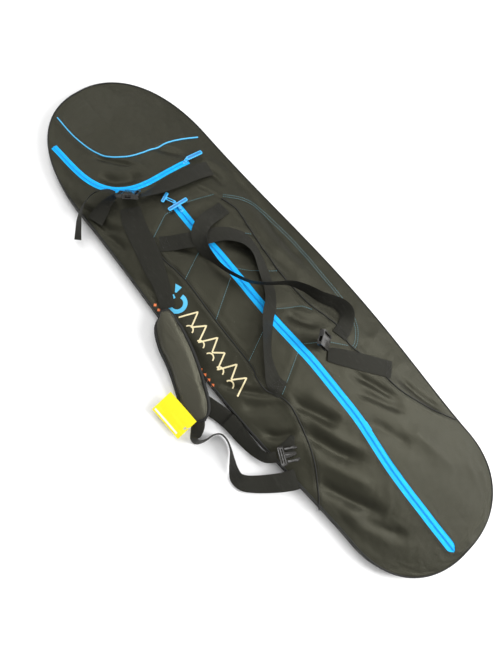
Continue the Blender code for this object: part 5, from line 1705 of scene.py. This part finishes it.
# %% Shoulder webbing
upper_web = sewn_webbing("shoulder_webbing_upper", (
    (-0.4200, -0.1080, 0.056), (-0.390, -0.1230, 0.060), (-0.350, -0.1350, 0.060), (-0.310, -0.1440, 0.060),
    (-0.270, -0.1540, 0.060), (-0.230, -0.1660, 0.054), (-0.200, -0.1740, 0.046), (-0.165, -0.1870, 0.042),
    (-0.130, -0.2030, 0.040)), 0.0008, wave=0.0007)
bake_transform(upper_web, "root", "shoulder_strap", start=(-0.400, -0.120, 0.07), end=(-0.240, -0.164, 0.07))
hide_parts("shoulder_web_upper")
LOWER_TURNS = (16, 18, 36, 58, 76, 84, 88, 90, 90, 88, 76, 58, 34, 20, 16, 14, 12, 8, 4)
LOWER_ROUTE = (
    (0.1400, -0.3180, 0.0262, 0.036), (0.1575, -0.3290, 0.0265, 0.036), (0.169, -0.3430, 0.0240, 0.038),
    (0.178, -0.3560, 0.0230, 0.040),
    (0.190, -0.3560, 0.0230, 0.040), (0.199, -0.3380, 0.0230, 0.040), (0.202, -0.3140, 0.0230, 0.040),
    (0.212, -0.2990, 0.0240, 0.040), (0.232, -0.2960, 0.0240, 0.040), (0.256, -0.3030, 0.0230, 0.040),
    (0.278, -0.3160, 0.0220, 0.040), (0.301, -0.3290, 0.0200, 0.040), (0.322, -0.3350, 0.0170, 0.040),
    (0.343, -0.3280, 0.0160, 0.042), (0.362, -0.3090, 0.0190, 0.044), (0.380, -0.2860, 0.0250, 0.046),
    (0.398, -0.2600, 0.0350, 0.048), (0.411, -0.2360, 0.0420, 0.050), (0.416, -0.2240, 0.0440, 0.050))
lower_web = free_webbing("shoulder_webbing_lower", [(*p, t) for p, t in zip(LOWER_ROUTE, LOWER_TURNS)])
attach(lower_web, "shoulder_strap")
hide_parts("shoulder_web_lower")
print("shoulder webbing:", len(upper_web.data.polygons), len(lower_web.data.polygons))

# %% The padded grip
PAD_ROUTE = (
    (-0.128, -0.2140, 0.0460, 0.026, 6), (-0.108, -0.2230, 0.0455, 0.050, 8),
    (-0.085, -0.2370, 0.0440, 0.074, 10),
    (-0.045, -0.2500, 0.0420, 0.084, 12), (0.000, -0.2610, 0.0400, 0.084, 15),
    (0.045, -0.2760, 0.0370, 0.084, 18),
    (0.090, -0.2940, 0.0330, 0.084, 20), (0.120, -0.3080, 0.0300, 0.082, 21),
    (0.138, -0.3170, 0.0280, 0.068, 21),
    (0.150, -0.3230, 0.0270, 0.042, 21))


def pad_frames(per_span=8):
    path = through(PAD_ROUTE, per_span)
    made = []
    for i, (x, y, z, width, turn) in enumerate(path):
        side, face = strap_axes(path, i, turn)
        low = min(0.0, *(p.z - ground_under(p.x, p.y) - STRAP_LIE - 0.006
                         for p in (Vector((x, y, z)) + side * s * width / 2 for s in (-1, 1))))
        made.append((Vector((x, y, z - low)), side, face, width))
    return made


def swell(piece, pressure=3.0, frames=14, cap=0.0030, voxel=0.0045):
    work = piece.modifiers.new("voxels", "REMESH")
    work.mode, work.voxel_size = "VOXEL", voxel
    even = finished_mesh(piece)
    piece.modifiers.clear()
    piece.data = even
    rest = np.array([v.co for v in even.vertices])
    cloth = piece.modifiers.new("cloth", "CLOTH")
    cloth.settings.use_pressure = True
    cloth.settings.uniform_pressure_force = pressure
    cloth.settings.effector_weights.gravity = 0.0
    swollen = played(piece, frames)
    piece.modifiers.clear()
    final = rest + capped(swollen - rest, cap)
    piece.data.vertices.foreach_set("co", final.astype(np.float32).ravel())
    return piece


def smoothed(piece, times=2):
    work = piece.modifiers.new("soften", "SMOOTH")
    work.iterations = times
    finer = piece.modifiers.new("finer", "SUBSURF")
    finer.levels = finer.render_levels = 1
    mesh = finished_mesh(piece)
    piece.modifiers.clear()
    piece.data = mesh
    return piece


def pad_body():
    frames = pad_frames()
    rings, count = [], 40
    for k, (middle, side, face, width) in enumerate(frames):
        end_fade = math.sqrt(max(0.10, 1 - abs(2 * k / (len(frames) - 1) - 1) ** 8))
        ring = []
        for j in range(count):
            a = 2 * math.pi * j / count
            c, s = math.cos(a), math.sin(a)
            across = math.copysign(abs(c) ** 0.62, c) * (width / 2 - 0.0016)
            lift = math.copysign(abs(s) ** 0.72, s) * 0.0048 * end_fade
            if s > 0:
                lift += 0.0040 * float(ease((0.030 - abs(across)) / 0.005))
            ring.append(middle + side * across + face * lift)
        rings.append(ring)
    points = [p for ring in rings for p in ring]
    faces = ring_after_ring(len(rings), count)
    faces += [tuple(range(count)), tuple((len(rings) - 1) * count + j for j in reversed(range(count)))]
    return face_outwards(mesh_object("shoulder_pad_cover", points, faces))


pad = pad_body()
swell(pad)
smoothed(pad)
metre_uv(pad.data)
finish_piece(pad, PAD_COVER_PAINTED_SHEEN, "shoulder_strap", 60)
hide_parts("shoulder_pad")
pad_path = pad_frames()
rim = [m + s * (w / 2 - 0.0045) for m, s, f, w in pad_path]
rim += [m - s * (w / 2 - 0.0045) for m, s, f, w in reversed(pad_path)]
rim = through([tuple(p) for p in rim] + [tuple(rim[0])], 3)[:-1]
pad_rim = tube("shoulder_pad_rim", rim, 0.0046, BLACK_CORD, closed=True)
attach(pad_rim, "shoulder_strap")
inner = [m + s * (w * 0.36) + f * 0.0062 for m, s, f, w in pad_path[8:-8]]
inner += [m - s * (w * 0.36) + f * 0.0062 for m, s, f, w in reversed(pad_path[8:-8])]
facing = [f for m, s, f, w in pad_path[8:-8]] + [f for m, s, f, w in reversed(pad_path[8:-8])]
pad_seam = repeat_along("shoulder_pad_stitches", [(inner + inner[:1], facing + facing[:1])],
                        small_shape("stitch", 0.0036, 0.0010, 0.0008), 0.0052, DARK_THREAD)
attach(pad_seam, "shoulder_strap")
print("pad faces:", len(pad.data.polygons))

# %% [markdown]
# ## The swing tag
# A plain yellow card hangs on a clear plastic loop from the webbing below the pad. It has a punched hole,
# a white band printed along one side, and a slight curl.

# %% Tag and loop
def card_point(x, y, lift=0.0):
    curl = 0.0016 * ((x - 0.045) / 0.05) ** 2 - 0.0010 * (y / 0.033) ** 2
    return card_frame @ Vector((x, y, curl + lift))


def card_sheet(name, x0, x1, y0, y1, low, high, material, hole=None):
    nx, ny = 30, 22
    points, faces = [], []
    for level in (high, low):
        for i in range(nx + 1):
            for j in range(ny + 1):
                points.append(card_point(x0 + (x1 - x0) * i / nx, y0 + (y1 - y0) * j / ny, level))
    size = (nx + 1) * (ny + 1)
    kept = {}
    for i in range(nx):
        for j in range(ny):
            cx, cy = x0 + (x1 - x0) * (i + 0.5) / nx, y0 + (y1 - y0) * (j + 0.5) / ny
            if hole and math.hypot(cx - hole[0], cy - hole[1]) < hole[2]:
                continue
            a = i * (ny + 1) + j
            quad = (a, a + ny + 1, a + ny + 2, a + 1)
            faces += [quad, tuple(size + v for v in reversed(quad))]
            for p, q in zip(quad, quad[1:] + quad[:1]):
                kept[(p, q)] = True
    faces += [(q, p, size + p, size + q) for p, q in kept if (q, p) not in kept]
    return finish_piece(face_outwards(mesh_object(name, points, faces)), material, smooth=30)


hole = Vector((0.1430, -0.3600, 0.0280))
card_frame = frame_at(hole, (-1.0, -0.045, -0.02), -18)
card = card_sheet("tag_card", -0.008, 0.092, -0.034, 0.031, -0.0004, 0.0004, YELLOW_CARD, (0.0, 0.0, 0.0032))
band = card_sheet("tag_band", 0.004, 0.088, 0.0215, 0.0265, 0.0003, 0.00055, WHITE_PRINT)
tag = joined("yellow_swing_tag", [card, band])
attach(tag, "swing_tag")
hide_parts("swing_tag")
loop_path = through(((0.1425, -0.3602, 0.0290), (0.1450, -0.3590, 0.0325), (0.1490, -0.3540, 0.0365),
    (0.1520, -0.3490, 0.0372)), 6)
loop = tube("tag_plastic_loop", loop_path, 0.0007, CLEAR_PLASTIC)
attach(loop, "swing_tag")
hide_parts("tag_loop")
print("tag faces:", len(tag.data.polygons))

# %% [markdown]
# ## A printed pattern
# The left side of the bag carries a print. Here it is a plain pattern of the same size and colours: a
# cream ridge line with low arcs under it, a light blue ring and triangle, and small orange diamonds. Each
# mark is a thin strip laid on the cloth, so it bends with it.

# %% Print on the left side
def printed_line(line, wide, lift=0.0007):
    path = np.array(line, float)
    marks = run_along(path)
    even = np.linspace(0, marks[-1], max(4, int(marks[-1] / 0.003)) + 1)
    path = np.column_stack([np.interp(even, marks, path[:, 0]), np.interp(even, marks, path[:, 1])])
    way = np.gradient(path, axis=0)
    way /= np.linalg.norm(way, axis=1, keepdims=True)
    rows = [[on_cloth(x - w[1] * s, y + w[0] * s, lift)[0] for s in np.linspace(-wide / 2, wide / 2, 3)]
            for (x, y), w in zip(path, way)]
    return strip("print_mark", rows, 0.0004, CREAM_PRINT)


def printed_patch(corners, lift=0.0007, steps=8):
    (ax, ay), (bx, by), (cx, cy), (dx, dy) = corners
    rows = []
    for i in range(steps + 1):
        s = i / steps
        x0, y0, x1, y1 = ax + (dx - ax) * s, ay + (dy - ay) * s, bx + (cx - bx) * s, by + (cy - by) * s
        rows.append([on_cloth(x0 + (x1 - x0) * t, y0 + (y1 - y0) * t, lift)[0] for t in np.linspace(0, 1,
            steps + 1)])
    return strip("print_mark", rows, 0.0004, CREAM_PRINT)


def arc_line(cx, cy, radius, start, finish, steps=26):
    angles = np.radians(np.linspace(start, finish, steps))
    return np.column_stack([cx + radius * np.cos(angles), cy + radius * np.sin(angles)])


def print_line_at(share, height):
    """A place in the band that holds the print: along it, and up from its lower edge."""
    first, last = np.array((-0.092, -0.196)), np.array((0.166, -0.208))
    spot = first + (last - first) * share
    return float(spot[0]), float(spot[1] + height)


peaks = [print_line_at(s, h) for s, h in zip(np.linspace(0, 1, 13),
    (0.0, 0.048, 0.010, 0.044, 0.002, 0.049, 0.014, 0.040, 0.0, 0.047, 0.012, 0.046, 0.0))]
cream = [printed_line(peaks, 0.0042)]
for share in (0.17, 0.36, 0.52, 0.69, 0.86):
    x, y = print_line_at(share, 0.0)
    cream.append(printed_line(arc_line(x, y, 0.012, 10, 170), 0.0036))
blue = [printed_line(arc_line(-0.124, -0.176, 0.0215, -200, 110), 0.0115), printed_patch((
    (-0.170, -0.146), (-0.150, -0.140), (-0.148, -0.160), (-0.152, -0.162)))]
orange = []
for k in range(4):
    for x, y in ((-0.160 + 0.017 * k, -0.222 - 0.001 * k), (0.052 + 0.017 * k, -0.236 - 0.0005 * k)):
        orange.append(printed_patch(((x - 0.005, y), (x, y + 0.005), (x + 0.005, y), (x, y - 0.005)),
            steps=3))
for pieces, material, name in ((cream, CREAM_PRINT, "print_ridge_line"), (blue, BLUE_PRINT, "print_ring"),
        (orange, ORANGE_PRINT, "print_diamonds")):
    whole = joined(name, pieces)
    whole.data.materials.clear()
    whole.data.materials.append(material)
    whole.data.polygons.foreach_set("material_index", np.zeros(len(whole.data.polygons), int))
    open_with_flap(whole, "left")
